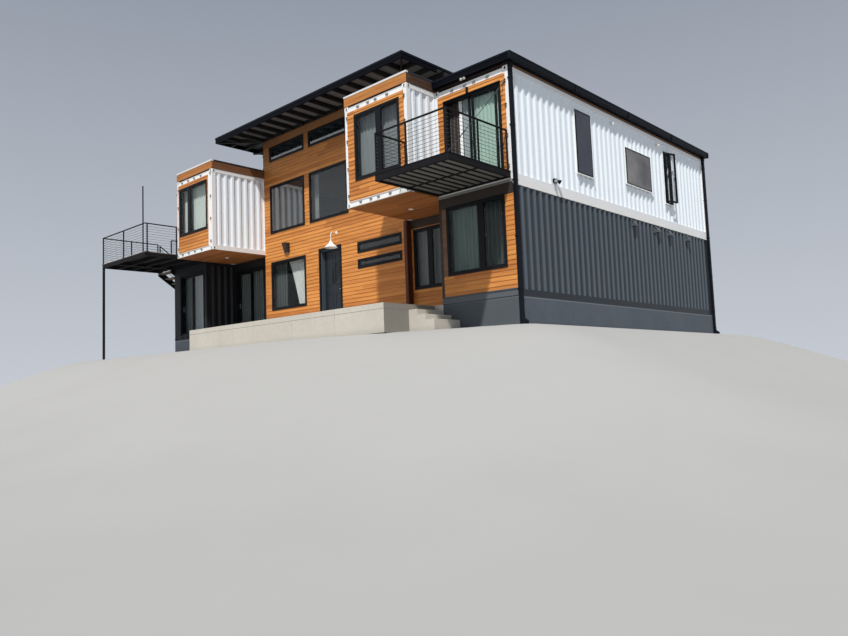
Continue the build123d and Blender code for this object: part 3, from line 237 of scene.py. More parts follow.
def masonry(name, colour, tint, rough=0.85, bands=(), joints=(), front=None):
    """Concrete with pores, blotches, damp at its foot, level bands and upright joints; fronts lightened as
    painted light.
    """
    s = Shade(name, rough, spec=0.2)
    small = s.noise(7.0, 5, 0.65)
    base = s.mix(s.mask(s.noise(0.8, 6, 0.6), 0.3, 0.75), colour, tint)
    base = s.mix(s.mul(s.mask(small, 0.45, 0.8), 0.35), base, times(colour, 0.7))
    stain = s.mask(s.noise(1.0, 4, 0.6, s.scaled(3.2, 3.2, 0.5)), 0.52, 0.78)
    base = s.mix(s.mul(stain, 0.3), base, times(tint, 0.78))
    p = s.xyz()
    for level, width, c in bands:
        at = s.math("LESS_THAN", s.math("ABSOLUTE", s.math("SUBTRACT", p[2], level)), width)
        base = s.mix(at, base, c)
    for axis, start, pitch, width in joints:
        line = s.stripe(s.math("SUBTRACT", p[axis], start), pitch, width / pitch)
        base = s.mix(s.mul(line, 0.8), base, times(colour, 0.35))
    damp = s.mask(s.math("ADD", p[2], s.mul(small, 0.25)), 0.3, 0.1)
    base = s.mix(s.mul(damp, 0.45), base, times(colour, 0.6))
    # Painted light: faces towards -y made lighter, for the sun on the front.
    if front:
        base = s.mix(s.math("LESS_THAN", s.normal()[1], -0.5), base, s.tint(base, front))
    s.colour(base)
    s.bump(small, 0.25, 0.006)
    s.bump(s.noise(60, 4, 0.7), 0.3, 0.0022)
    return s.m


def cloth(name, *colour):
    """Woven curtain with a faint weave, lighter and darker by turns."""
    s = Shade(name + "_curtain", 0.85, spec=0.1)
    weave = s.add("ShaderNodeTexWave", {"Vector": s.pos, "Scale": 90, "Distortion": 1.5},
                  wave_type="BANDS", bands_direction="Z")
    soft = s.noise(1.0, 3, 0.5, s.scaled(5, 5, 0.7))
    base = s.mix(s.mul(s.noise(3.0, 3), 0.3), colour, times(colour, 0.78))
    s.colour(s.mix(s.mul(s.mask(soft, 0.35, 0.7), 0.25), base, times(colour, 0.6)))
    s.b.inputs["Sheen Weight"].default_value = 0.25
    s.bump(weave.outputs["Fac"], 0.15, 0.0008)
    return s.m


def glazing(name, alpha, ior=1.45, low=(0.01, 0.015, 0.017), high=(0.018, 0.026, 0.03)):
    """Dark tinted glass, partly clear, with the slight waviness of toughened panes."""
    s = Shade(name + "_glass", 0.03, spec=0.5)
    s.colour(s.ramp(s.noise(0.7, 3), [(0.3, low), (0.7, high)]))
    s.rough(s.noise(1.6, 4), 0.02, 0.07)
    s.b.inputs["Alpha"].default_value = alpha
    s.b.inputs["IOR"].default_value = ior
    s.bump(s.noise(0.9, 2), 0.05, 0.01)
    return s.m


def steel(name, light, dark):
    s = Shade(name, 0.35, 0.9)
    s.colour(s.ramp(s.noise(30, 4), [(0.3, (dark, dark, dark * 1.02)), (0.7, (light, light, light * 1.02))]))
    s.rough(s.noise(60, 3), 0.25, 0.5)
    s.bump(s.noise(90, 3), 0.1, 0.0005)
    return s.m


def roof_top():
    """Standing membrane above, pale panels with dark rafters below."""
    s = Shade("main_roof", 0.6)
    p = s.xyz()
    n = s.normal()
    panel = s.mul(s.math("LESS_THAN", n[2], -0.5), s.over(p[2], ZE + 0.1495))
    spots = s.mul(s.mask(s.noise(1.5, 4), 0.3, 0.8), 0.4)
    pale = s.mix(spots, (0.145, 0.145, 0.148), (0.115, 0.115, 0.117))
    pale = s.mix(s.mul(s.stripe(p[0], 0.305, 0.03), 0.7), pale, (0.07, 0.065, 0.06))
    dark = s.mix(s.mask(s.noise(3.0, 4), 0.3, 0.8), (0.01, 0.01, 0.011), (0.022, 0.021, 0.021))
    top = s.mix(s.mask(s.noise(0.6, 5), 0.3, 0.8), (0.16, 0.16, 0.165), (0.22, 0.22, 0.22))
    s.colour(s.mix(panel, s.mix(s.over(n[2], 0.5), dark, top), pale))
    s.bump(s.noise(40, 3), 0.15, 0.001)
    return s.m


def membrane():
    """Roofing sheets with a seam each metre."""
    s = Shade("roof_membrane", 0.8)
    seam = s.stripe(s.xyz()[1], 1.0, 0.06)
    base = s.mix(s.mask(s.noise(0.8, 6), 0.3, 0.8), (0.2, 0.2, 0.205), (0.28, 0.275, 0.265))
    s.colour(s.mix(s.mul(seam, 0.5), base, (0.13, 0.13, 0.13)))
    s.bump(seam, 0.3, 0.002)
    s.bump(s.noise(120, 4), 0.35, 0.002)
    return s.m


def caps():
    """Pale metal on the front edges, and dark on the others as painted shade."""
    s = Shade("parapet_cap", 0.35)
    p = s.xyz()
    side = s.mul(s.math("SIGN", p[0]), 0.07)
    # Painted shade: cap edges away from the front near black.
    front = s.math("LESS_THAN", s.math("ADD", p[1], side), -7.079)
    cloud = s.noise(2.0, 4)
    pale = s.mix(cloud, (0.58, 0.58, 0.58), (0.7, 0.7, 0.7))
    dark = s.mix(cloud, (0.016, 0.018, 0.024), (0.03, 0.032, 0.038))
    s.colour(s.mix(s.stripe(p[1], 2.4, 0.003), s.mix(front, dark, pale), (0.01, 0.01, 0.01)))
    s.rough(cloud, 0.3, 0.5)
    s.bump(s.noise(6, 2), 0.2, 0.001)
    return s.m


def lower_frame():
    """Slate frame whose side top rail is painted white like the wall above."""
    s = Shade("lower_right_frame_paint", 0.42)
    cloud = s.noise(1.6, 5)
    white = s.mix(s.mul(s.mask(cloud, 0.4, 0.8), 0.25), (0.8, 0.8, 0.785), (0.55, 0.55, 0.54))
    navy = s.mix(cloud, (0.013, 0.016, 0.022), (0.024, 0.028, 0.035))
    s.colour(s.mix(s.over(s.xyz()[2], ZJ - 0.1205), navy, white))
    s.rough(cloud, 0.35, 0.55)
    s.bump(s.noise(5.0, 2), 0.35, 0.0012)
    return s.m


def two_tone(name, white, streak, shade):
    """Slate on the right side of the house and black on the left, with white above where it is asked for."""
    s = Shade(name, 0.42)
    p = s.xyz()
    base = s.mix(s.over(p[0], 0.0), (0.014, 0.016, 0.02), (0.082, 0.108, 0.134))
    if white:
        base = s.mix(s.over(p[2], ZJ - 0.0003), base, (0.8, 0.8, 0.785))
    s.colour(s.mix(s.mul(s.runs(), streak), base, s.tint(base, (shade,) * 3)))
    s.rough(s.noise(1.4, 5), 0.36, 0.55)
    s.bump(s.noise(5.0, 2), 0.35, 0.0012)
    return s.m


BAND_ROWS = dict(start=ZT + 0.003, pitch=0.135)
GREY_WOOD = dict(up="y", light=(0.26, 0.235, 0.2), dark=(0.16, 0.14, 0.12), rough=0.7)
CEDAR = timber("cedar_siding", start=ROW, lap_shade=0.1)
CEDAR_WALL = timber("cedar_front_wall", start=ROW, inner=("+", "y"))
CEDAR_BACK = timber("cedar_back_wall", start=ROW, inner=("-", "y"))
CEDAR_SIDE = timber("cedar_side_siding", run="y", start=ROW, lap_shade=0.1)
# Painted shade: the same cedar much darker, for boards in the balcony's shadow.
CEDAR_SHADED = timber("cedar_painted_shade", start=ROW, lap_shade=0.1, light=(0.2, 0.115, 0.06), dark=(0.12, 0.062, 0.032))
SOFFIT = timber("cedar_soffit", up="y", pitch=0.14, light=(0.42, 0.165, 0.052), dark=(0.24, 0.085, 0.026),
                lap_shade=0.06)
BAND = timber("cedar_band", **BAND_ROWS, light=(0.6, 0.25, 0.066), dark=(0.4, 0.14, 0.034))
# Painted shade: side boards of the bands in darker copies of the band cedar, the right ones in the roof's
# shadow.
BAND_LEFT_SHADED = timber("cedar_band_left_shaded", "y", **BAND_ROWS, light=(0.26, 0.125, 0.06), dark=(0.17, 0.075, 0.035))
BAND_RIGHT_SHADED = timber("cedar_band_right_shaded", "y", **BAND_ROWS, light=(0.11, 0.06, 0.036),
                    dark=(0.065, 0.035, 0.022))
# Painted shade: parapet boards near black for the shade under the gutter, a lighter brown on faces towards
# +x.
PARAPET_SHADED = timber("parapet_boards_painted_shade", **BAND_ROWS, light=(0.036, 0.018, 0.015), dark=(0.022, 0.011, 0.01),
                 inner=("+", "x"), behind=(0.19, 0.11, 0.065))
# Frieze boards, darker than the siding and darkened more by the ramp in timber: painted shade under the
# eaves.
FRIEZE_SHADED = timber("cedar_frieze_shaded", start=ZF, pitch=0.21, light=(0.46, 0.22, 0.085), dark=(0.3, 0.125, 0.045))
RETURN = timber("dark_corner_board", run="z", up="y", pitch=0.3, length=9, light=(0.115, 0.036, 0.018),
                dark=(0.065, 0.02, 0.012))
# Painted shade: the downward faces of the deck boards are near black.
DECKING = timber("deck_boards_grey", pitch=0.15, length=3.0, inner=("-", "z"), behind=(0.014, 0.014, 0.015),
                 **GREY_WOOD)
TREADS = timber("tread_boards_grey", pitch=0.14, length=6.0, **GREY_WOOD)
FLOORING = timber("floor_boards", run="y", up="x", pitch=0.12, length=2.4, light=(0.3, 0.19, 0.1),
                  dark=(0.2, 0.11, 0.05))
HEADER = paint("weathered_header", (0.03, 0.022, 0.018), 0.55, 0.5, 0.7, dark=(0.16, 0.11, 0.07))
WHITE = paint("white_skin", (0.8, 0.86, 0.92), dirt=0.1, streak=0.14)
WHITE_FRAME = paint("white_frame", (0.79, 0.8, 0.81), dirt=0.14, rust=0.9, streak=0.18)
WHITE_TRIM = paint("white_trim", (0.82, 0.82, 0.81), 0.4, 0.18, 0.3)
# The slate side wall takes painted shade in the troughs and painted highlight on the crests of its ribs.
SLATE = paint("slate_skin", (0.078, 0.1, 0.122), dirt=0.35, streak=0.45, dark=(0.2, 0.22, 0.24),
              rib_shade=(XO - 0.032, XO - 0.004))
SLATE_TRIM = paint("slate_trim", (0.084, 0.096, 0.108), dirt=0.3)
BLACK_SKIN = paint("black_skin", (0.012, 0.014, 0.018), dirt=0.3, streak=0.4, dark=(0.07, 0.07, 0.08),
                   spec=0.15)
BLACK = paint("black_trim", (0.006, 0.008, 0.012), 0.42, 0.2, dark=(0.04, 0.04, 0.05), spec=0.08)
FASCIA = paint("fascia_black", (0.003, 0.004, 0.007), 0.5, 0.1, dark=(0.02, 0.02, 0.025), spec=0.04)
FRAME_BLACK = paint("window_black", (0.007, 0.008, 0.01), 0.38, 0.15, dark=(0.05, 0.05, 0.05), wave=0.0004,
                    spec=0.1)
RAIL = paint("railing_black", (0.01, 0.01, 0.012), 0.45, 0.25, 0.35, dark=(0.06, 0.05, 0.05), spec=0.1)
CHANNEL = paint("channel_black", (0.01, 0.01, 0.012), 0.6, 0.35, 0.3, dark=(0.07, 0.07, 0.07), spec=0.08)
KEEPER_AND_RAIL_SHADE = paint("keeper_grey", (0.26, 0.26, 0.25), 0.5, 0.4, 0.9)
LAMP_WHITE = paint("lamp_white", (0.8, 0.8, 0.78), 0.3, 0.1)
BRONZE = paint("dark_bronze", (0.03, 0.022, 0.018), 0.4, 0.3, dark=(0.1, 0.08, 0.06))
RUSTY = paint("rusty_lug", (0.1, 0.055, 0.035), 0.65, 0.5, 1.2, dark=(0.05, 0.03, 0.02))
# Painted shade: near black for the dark inside of holes and vent mouths.
HOLE_SHADE = paint("casting_hole", (0.012, 0.011, 0.01), 0.8, 0.5, dark=(0.05, 0.04, 0.03))
DOOR = paint("door_slate", (0.01, 0.015, 0.021), 0.38, 0.2, dark=(0.06, 0.06, 0.06))
REVEAL = paint("door_reveal", (0.055, 0.075, 0.098), dirt=0.25)
UNDER = paint("board_underside", (0.135, 0.135, 0.12), 0.8, 0.4)
# Painted light: the front of the foundation lightened, for the sun on it.
FOUND = masonry("painted_concrete", (0.088, 0.105, 0.125), (0.108, 0.126, 0.147), 0.8,
                bands=[(0.715, 0.01, (0.18, 0.2, 0.22)), (0.742, 0.01, (0.05, 0.06, 0.07))],
                joints=[(1, YF, 2.44, 0.008)], front=(1.8, 1.75, 1.65))
CONCRETE = masonry("porch_concrete", (0.5, 0.47, 0.41), (0.56, 0.53, 0.47),
                   bands=[(0.602, 0.005, (0.14, 0.12, 0.1))], joints=[(0, -XM, 1.888, 0.007)])
STEP = masonry("step_concrete", (0.5, 0.47, 0.41), (0.56, 0.53, 0.47))
GLASS = glazing("window", 0.16)
SKY_GLASS = glazing("sky", 0.3, 1.75)
HIGH_GLASS = glazing("high", 0.5, 2.6)
MIRROR_GLASS = glazing("mirror", 0.85, 2.9)
TINTED = glazing("tinted", 0.95, 1.5, (0.028, 0.028, 0.044), (0.05, 0.05, 0.07))
HAZED = glazing("hazed", 0.95, 1.5, (0.06, 0.06, 0.066), (0.26, 0.245, 0.24))
DOOR_GLASS = glazing("door", 0.1, 1.4)
MINT = cloth("mint", 0.7, 1.0, 0.88)
PALE_CLOTH = cloth("pale", 0.78, 0.84, 0.81)
WHITE_CLOTH = cloth("white", 0.88, 0.9, 0.9)
GREY_CLOTH = cloth("grey", 0.56, 0.62, 0.64)
GREEN_CLOTH = cloth("green", 0.22, 0.32, 0.29)
DARK_CLOTH = cloth("dark", 0.13, 0.165, 0.16)
DIM_CLOTH = cloth("dim", 0.3, 0.35, 0.36)
NIGHT_CLOTH = cloth("night", 0.055, 0.075, 0.072)
# Painted shade: a near-black sheet for the dark room seen through the open door.
INTERIOR_SHADE_CLOTH = cloth("interior_shade", 0.034, 0.026, 0.024)
PEARL_CLOTH = cloth("pearl", 0.8, 0.92, 0.86)
STEEL = steel("galvanised_steel", 0.56, 0.36)
ROD = steel("dark_rod", 0.16, 0.08)
MEMBRANE, CAPS = membrane(), caps()

# Finishes of the CAD nodes
for mat, nodes in (
        (FOUND, "foundation"), (CONCRETE, "porch"), (STEP, "porch_steps"), (SOFFIT, "bay_soffits"),
        (FLOORING, "ground_floor upper_floor"), (lower_frame(), "lower_right_frame"),
        (WHITE_FRAME, "upper_right_frame bay_frames"), (SLATE, "lower_right_side_wall"),
        (BLACK_SKIN, "lower_left_frame lower_left_side_wall lower_left_fronts"), (WHITE, "upper_side_walls"),
        (two_tone("recess_wall_paint", False, 0.4, 1.5), "recess_side_walls"),
        (two_tone("rear_wall_paint", True, 0.35, 0.7), "rear_end_walls"), (CEDAR_BACK, "rear_great_wall"),
        (CEDAR_WALL, "entry_walls great_wall lower_right_fronts upper_fronts"),
        (CEDAR_SIDE, "great_side_walls"), (MEMBRANE, "container_roofs"), (PARAPET_SHADED, "parapets"),
        (CAPS, "parapet_caps"), (FASCIA, "low_roof great_fascia"), (roof_top(), "great_roof"),
        (GLASS, "window_panes"),
        (FRAME_BLACK, "window_frames sliding_door_frames outer_slider recess_slider"),
        (DOOR_GLASS, "sliding_door_glass outer_slider_glass recess_slider_glass"),
        (REVEAL, "front_door_frame"), (STEEL, "front_door_hinges"), (DOOR, "front_door"),
        (CHANNEL, "balcony_frame deck_frame stair_stringers"), (DECKING, "balcony_floor deck_boards"),
        (RAIL, "balcony_railing deck_railing deck_posts stair_railing"), (ROD, "balcony_stay"),
        (TREADS, "stair_treads"), (BLACK, "downspouts outside_lights"), (SLATE_TRIM, "vent_hoods"),
        (LAMP_WHITE, "barn_light")):
    for node in nodes.split():
        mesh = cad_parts[node].data
        mesh.materials.clear()
        mesh.materials.append(mat)


def circle(u, w, n):
    """Unit points round two directions at right angles."""
    return [u * math.cos(2 * math.pi * i / n) + w * math.sin(2 * math.pi * i / n) for i in range(n)]


def grid_faces(rows, n):
    return [(j * n + i, j * n + i + 1, (j + 1) * n + i + 1, (j + 1) * n + i)
            for j in range(rows - 1) for i in range(n - 1)]


def about(middle, half):
    return middle - half, middle + half


class Kit:
    """Collects the vertices and faces of one piece."""

    def __init__(self):
        self.v, self.f = [], []

    def skin(self, rings, caps=True, closed=False):
        """Walls from ring to ring of points, with caps on the first and the last."""
        k, n, m = len(self.v), len(rings[0]), len(rings)
        for ring in rings:
            self.v += [Vector(p) for p in ring]
        if caps:
            self.f.append(tuple(k + j for j in reversed(range(n))))
            self.f.append(tuple(k + (m - 1) * n + j for j in range(n)))
        for i in range(m if closed else m - 1):
            a, b = k + i * n, k + (i + 1) % m * n
            self.f += [(a + j, a + (j + 1) % n, b + (j + 1) % n, b + j) for j in range(n)]

    def prism(self, loop, move):
        """A loop of points, extruded by a vector."""
        self.skin([loop, [Vector(p) + Vector(move) for p in loop]])

    def box(self, x, y, z):
        (x0, x1), (y0, y1), (z0, z1) = sorted(x), sorted(y), sorted(z)
        self.prism([(x0, y0, z0), (x1, y0, z0), (x1, y1, z0), (x0, y1, z0)], (0, 0, z1 - z0))

    def slab(self, run, along, across, z):
        self.box(*((along, across) if run == "x" else (across, along)), z)

    def frame4(self, run, along, across, z, bars):
        """A picture frame with its own bar at the left, right, bottom and top."""
        left, right, low, high = bars
        self.slab(run, (along[0], along[0] + left), across, z)
        self.slab(run, (along[1] - right, along[1]), across, z)
        inner = (along[0] + left, along[1] - right)
        if low:
            self.slab(run, inner, across, (z[0], z[0] + low))
        self.slab(run, inner, across, (z[1] - high, z[1]))

    def lathe(self, centre, axis, profile, n=24):
        """A profile of (distance along the axis, radius) turned about the axis."""
        d = Vector(axis).normalized()
        u = d.orthogonal().normalized()
        ring = circle(u, d.cross(u), n)
        self.skin([[Vector(centre) + d * t + q * r for q in ring] for t, r in profile], caps=False)

    def sweep(self, profile, path, closed=False):
        """A profile of (outward, up) carried along a level path, mitred; outward is right of travel."""
        pts, rings = [Vector(p) for p in path], []
        m = len(pts)
        for i, p in enumerate(pts):
            a = (p - pts[i - 1]).normalized() if i or closed else (pts[1] - pts[0]).normalized()
            b = (pts[(i + 1) % m] - p).normalized() if i < m - 1 or closed else a
            na, nb = Vector((a.y, -a.x, 0)), Vector((b.y, -b.x, 0))
            out = (na + nb) / (1 + na.dot(nb))
            rings.append([p + out * d + Vector((0, 0, up)) for d, up in profile])
        self.skin(rings, not closed, closed)

    def pipe(self, points, r, n=10):
        """A round bar along a line of points."""
        pts, rings, u = [Vector(p) for p in points], [], None
        for i, p in enumerate(pts):
            d = (pts[min(i + 1, len(pts) - 1)] - pts[max(i - 1, 0)]).normalized()
            u = d.orthogonal().normalized() if u is None else (u - d * u.dot(d)).normalized()
            rings.append([p + q * r for q in circle(u, d.cross(u), n)])
        self.skin(rings)

    def make(self, name, mat, slot=None, bevel=0.0, smooth=False, body="house"):
        mesh = bpy.data.meshes.new(name)
        mesh.from_pydata([tuple(p) for p in self.v], [], self.f)
        bm = bmesh.new()
        bm.from_mesh(mesh)
        bmesh.ops.recalc_face_normals(bm, faces=bm.faces)
        bm.to_mesh(mesh)
        bm.free()
        obj = bpy.data.objects.new(name, mesh)
        bpy.context.collection.objects.link(obj)
        mesh.materials.append(mat)
        if bevel:
            mod = obj.modifiers.new("bevel", "BEVEL")
            mod.width = bevel
            mod.segments = 1
            mod.limit_method = "ANGLE"
            mod.angle_limit = math.radians(40)
        if smooth:
            for p in mesh.polygons:
                p.use_smooth = True
            mesh.set_sharp_from_angle(angle=math.radians(35))
        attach(obj, body)
        return obj


def blocks(name, mat, slot, bevel, *rows):
    """A piece made of boxes, each a range of x, y and z."""
    kit = Kit()
    for row in rows:
        kit.box(*row)
    return kit.make(name, mat, slot, bevel)


# How far a lapped board stands out at its foot and at its top
FOOT, HEAD = 0.017, 0.007


def siding(name, run, face, out, along, z, seed, holes=(), mat=CEDAR):
    """Lapped boards on one wall, on one grid of rows, cut round the holes, each with its own butt joints."""
    rng = random.Random(seed)
    kit = Kit()
    first = int(math.floor((z[0] - ROW) / PITCH + 1e-6))
    last = int(math.ceil((z[1] - ROW) / PITCH - 1e-6))
    for r in range(first, last):
        foot = ROW + r * PITCH
        zb, zt = max(foot, z[0]), min(foot + PITCH, z[1])
        cuts = sorted({zb, zt} | {q for h in holes for q in h[2:] if zb < q < zt})
        joints = []
        at = along[0] + rng.uniform(0.6, BOARD)
        while at < along[1] - 0.3:
            joints.append(at)
            at += BOARD * rng.uniform(0.85, 1.1)
        swell = rng.uniform(-0.0012, 0.0012)
        for a, b in zip(cuts, cuts[1:]):
            spans = [list(along)]
            for h in holes:
                if h[2] < (a + b) / 2 < h[3]:
                    spans = [q for s in spans for q in ([s[0], min(s[1], h[0])], [max(s[0], h[1]), s[1]])
                             if q[1] - q[0] > 0.004]
            da, db = (HEAD + (FOOT - HEAD) * (1 - (q - foot) / PITCH) + swell for q in (a, b))
            loop = [(face, a), (face + out * da, a), (face + out * db, b), (face, b)]
            for s in spans:
                marks = [s[0]] + [j for j in joints if s[0] + 0.05 < j < s[1] - 0.05] + [s[1]]
                for p, q in zip(marks, marks[1:]):
                    p += 0.001 if p != s[0] else 0
                    q -= 0.001 if q != s[1] else 0
                    if run == "x":
                        kit.prism([(p, y, h) for y, h in loop], (q - p, 0, 0))
                    else:
                        kit.prism([(x, p, h) for x, h in loop], (0, q - p, 0))
    return kit.make(name, mat, "timber")


def hole(a, b, c, d):
    """Turn a CAD window (from, to, bottom, top in mm from the outer corner) into a hole in this frame."""
    return (XO + a / 1000, XO + b / 1000, ZB + c / 1000, ZB + d / 1000)


# How far a casing reaches past its hole
CASE = 0.03


def grown(h, by=CASE):
    return (h[0] - by, h[1] + by, h[2] - by, h[3] + by)


GREAT = [hole(-11800, -9800, 6360, 6870), hole(-9480, -7480, 6360, 6870), hole(-11800, -9820, 3650, 5380),
         hole(-9480, -7500, 3650, 5380), hole(-11800, -9820, 800, 2530), hole(-7060, -5110, 2235, 2540),
         hole(-7060, -5110, 1725, 1975)]
LOWER_R = hole(-2160, -290, 750, 2530)
RECESS_R = hole(-4740, -3470, 780, 2570)
BAY_R = hole(-4450, -2740, 3620, 5450)
BAY_L = hole(-14410, -12530, 3700, 5440)
UPPER_R = hole(-2130, -240, 3056, 5440)
OUTER_L = hole(-16590, -14810, 160, 2560)
RECESS_L = hole(-14480, -12600, 160, 2560)
ENTRY = hole(-9010, -7950, 0, 2590)
SIDE = [(YF + a, YF + b, ZB + c, ZB + d) for a, b, c, d in (
    (3.13, 3.97, 3.62, 5.45), (6.06, 7.75, 3.83, 4.985), (8.785, 9.375, 3.64, 5.43))]
# Windows of two panes: hole, face of the wall, middle, and how far the casing stands out
PAIRS = ((LOWER_R, YF, 7.4935, 0.036), (RECESS_R, YR, 4.4285, 0.03), (BAY_R, YBR, 5.0135, 0.034),
         (BAY_L, YBL, -5.2165, 0.034))
# Boards on the container ends start this far in front of them; SKIN is that plane on the long containers
PLATE = 0.0045
SKIN = YF - PLATE

# Lapped boards
edge = (XI + 0.095, LOWER_R[0] - CASE - 0.001)
siding("great_front_boards", "x", YG, -1, (-XM - 0.012, XM + 0.012), (ZB + 0.02, ZF), 3,
       [grown(h) for h in GREAT] + [grown(ENTRY, 0.06)])
siding("great_back_boards", "x", YB, 1, (-XM, XM), (ZB + 0.02, ZF), 4, [grown(h) for h in GREAT[:5]])
siding("great_right_boards", "y", XM, 1, (YG - 0.012, YB), (ZT + 0.03, ZF), 5, mat=CEDAR_SIDE)
siding("great_left_boards", "y", -XM, -1, (YG - 0.012, YB), (ZT + 0.03, ZF), 6, mat=CEDAR_SIDE)
siding("lower_right_boards", "x", SKIN, -1, (XI + 0.095, XO + 0.002), (ZB + 0.18, 3.28), 8,
       [grown(LOWER_R), (edge[0] - 0.01, edge[1], LOWER_R[2] - CASE, 3.29)])
# Boards left of the lower right window, darkened as painted shadow of the balcony.
siding("lower_right_corner_boards", "x", SKIN, -1, edge, (LOWER_R[2] - CASE, 3.28), 18, mat=CEDAR_SHADED)
siding("recess_boards", "x", YR, -1, (XM + 0.02, XI), (ZB + 0.02, 3.376), 9, [grown(RECESS_R)])
siding("right_bay_boards", "x", YBR - PLATE, -1, (XM + 0.11, XI - 0.11), (ZJ + 0.16, 6.365), 10,
       [grown(BAY_R)])
siding("left_bay_boards", "x", YBL - PLATE, -1, (-XI + 0.11, -XM - 0.25), (ZJ + 0.16, 6.365), 11,
       [grown(BAY_L)])
siding("upper_right_boards", "x", SKIN, -1, (XI + 0.105, XO - 0.095), (ZJ + 0.165, 6.345), 12,
       [grown(UPPER_R, 0.014)])

# Bands on the parapets, two flat boards each, and flat boards at the top of the middle room
# The side boards take the darker, shaded copies of the band cedar: painted shade.
for side, mat, ((xa, xb), front) in (("right", BAND_RIGHT_SHADED, BAYS[0]), ("left", BAND_LEFT_SHADED, BAYS[1])):
    ends, flanks = [], []
    for z in ((ZT + 0.016, ZT + 0.142), (ZT + 0.145, ZT + 0.271)):
        ends += [((xa - 0.012, xb + 0.012), y, z) for y in ((front - 0.014, front), (YB, YB + 0.014))]
        flanks += [(x, (front - 0.002, YB + 0.002), z) for x in ((xa - 0.014, xa), (xb, xb + 0.014))]
    blocks(f"{side}_parapet_boards", BAND, "timber", 0.0015, *ends)
    blocks(f"{side}_parapet_side_boards", mat, "timber", 0.0015, *flanks)
wide, tall = (-XM - 0.022, XM + 0.022), (ZF, 7.9)
blocks("eaves_boards", FRIEZE_SHADED, "timber", 0.002,
       (wide, (YG - 0.022, YG), tall), (wide, (YB, YB + 0.022), tall),
       ((-XM - 0.022, -XM), (YG, YB), tall), ((XM, XM + 0.022), (YG, YB), tall))
blocks("entry_corner_board", RETURN, "timber", 0.002,
       ((XM, XM + 0.022), (YG - 0.024, YR - 0.002), (ZB + 0.004, ZJ - 0.006)),
       ((XM - 0.1, XM), (YG - 0.024, YG), (ZB + 0.02, ZJ - 0.006)))

# Flat steel above, below and beside the boards of the lower right front
blocks("lower_right_header", HEADER, "black_trim", 0.002,
       ((XI + 0.004, XO - 0.001), (YF - 0.022, SKIN), (3.28, 3.57)),
       ((XI + 0.004, XI + 0.095), (YF - 0.02, SKIN), (ZB + 0.18, 3.28)),
       ((XM + 0.024, XI), (YR - 0.024, YR), (3.376, ZJ - 0.006)))
# Painted shade: grey stands for the white top rail in the balcony's shade.
blocks("lower_right_top_strip", KEEPER_AND_RAIL_SHADE, "white_paint", 0.001,
       ((XI, XO), (YF - 0.01, SKIN), (3.572, ZJ - 0.002)), ((XI, XO), (YF - 0.03, SKIN), (3.57, 3.582)))
kit = Kit()
kit.box((XI, XO + 0.004), (YF - 0.012, SKIN), (ZB, ZB + 0.168))
kit.prism([(XI, y, ZB + z) for y, z in (
    (SKIN, 0.196), (YF - 0.034, 0.176), (YF - 0.034, 0.162), (SKIN, 0.162))], (XO + 0.006 - XI, 0, 0))
kit.make("lower_right_sill", SLATE_TRIM, "slate_paint", 0.001)

# White beams over the fronts of the upper storey, and black strips above them as painted shadow in the gap
kit, shadow_gaps = Kit(), Kit()
for (xa, xb), face in (*BAYS, ((XI, XO), YF)):
    for deep, z in ((0.012, (6.362, 6.492)), (0.02, (6.484, 6.496)), (0.01, (ZJ + 0.002, ZJ + 0.156)),
                    (0.03, (ZJ + 0.148, ZJ + 0.158))):
        kit.box((xa + POST + 0.002, xb - POST - 0.002), (face - deep, face), z)
    shadow_gaps.box((xa + POST + 0.004, xb - POST - 0.004), (face - 0.006, face), (6.494, 6.5415))
kit.box((-XM - 0.25, -XM - POST + 0.004), (YBL - 0.01, YBL), (ZJ + 0.16, 6.36))
kit.make("upper_front_beams", WHITE_TRIM, "white_paint", 0.002)
shadow_gaps.make("upper_front_gaps", BLACK, "black_trim")

# Boards that close the underside of the two bays round their soffits
kit = Kit()
thin = (ZJ - 0.006, ZJ - 0.0005)
for (xa, xb), front in BAYS:
    kit.box((xa + 0.012, xa + POST + 0.01), (front + 0.02, YG - 0.03), thin)
    kit.box((xb - POST - 0.01, xb - 0.012), (front + 0.02, YR - 0.03), thin)
    kit.box((xa + POST + 0.012, xb - POST - 0.012), (front + 0.02, front + POST + 0.01), thin)
kit.box((XI + 0.0005, XI + 0.005), (YBR + 0.17, -6.112), (ZJ - 0.006, ZJ + 0.03))
kit.make("soffit_edge_boards", SOFFIT, "timber", 0.001)


def oval(centre, axis, half, out):
    """Points of an oval that stands on end, on a face with the given outward axis."""
    c, d = Vector(centre), Vector(axis)
    side = Vector((d.y, -d.x, 0))
    pts, n, long = [], 20, 0.018
    for i in range(n):
        t = 2 * math.pi * i / n
        up = math.sin(t) * half + (long if math.sin(t) > 0 else -long if math.sin(t) < 0 else 0)
        pts.append(c + side * (math.cos(t) * half) + Vector((0, 0, up)) + d * out)
    return pts


# Corner castings: a raised lip round each oval hole, and a thin dark oval inside as painted shade in the
# hollow
lips, blacks, hole_shades = Kit(), Kit(), Kit()
for (xa, xb), face, z, kit in ((*BAYS[0], (ZJ, ZT), lips), (*BAYS[1], (ZJ, ZT), lips),
                               ((XI, XO), YF, (ZJ, ZT), lips), ((-XO, -XI), YOL, (ZB, ZJ), blacks)):
    for zc in (z[0] + 0.059, z[1] - 0.059):
        spots = [((x, face - 0.004, zc), (0, -1, 0)) for x in (xa + 0.075, xb - 0.075)]
        if xa != XI:
            spots += [((x, face + 0.075, zc), (s, 0, 0)) for x, s in ((xb + 0.004, 1), (xa - 0.004, -1))]
        for centre, axis in spots:
            kit.skin([oval(centre, axis, h, o) for h, o in (
                (0.032, 0.0), (0.032, 0.004), (0.024, 0.004), (0.024, 0.0))], caps=False)
            hole_shades.prism(oval(centre, axis, 0.0245, 0.0002), Vector(axis) * 0.0014)
lips.make("casting_lips_white", WHITE_TRIM, "white_paint")
blacks.make("casting_lips_black", BLACK_SKIN, "black_trim")
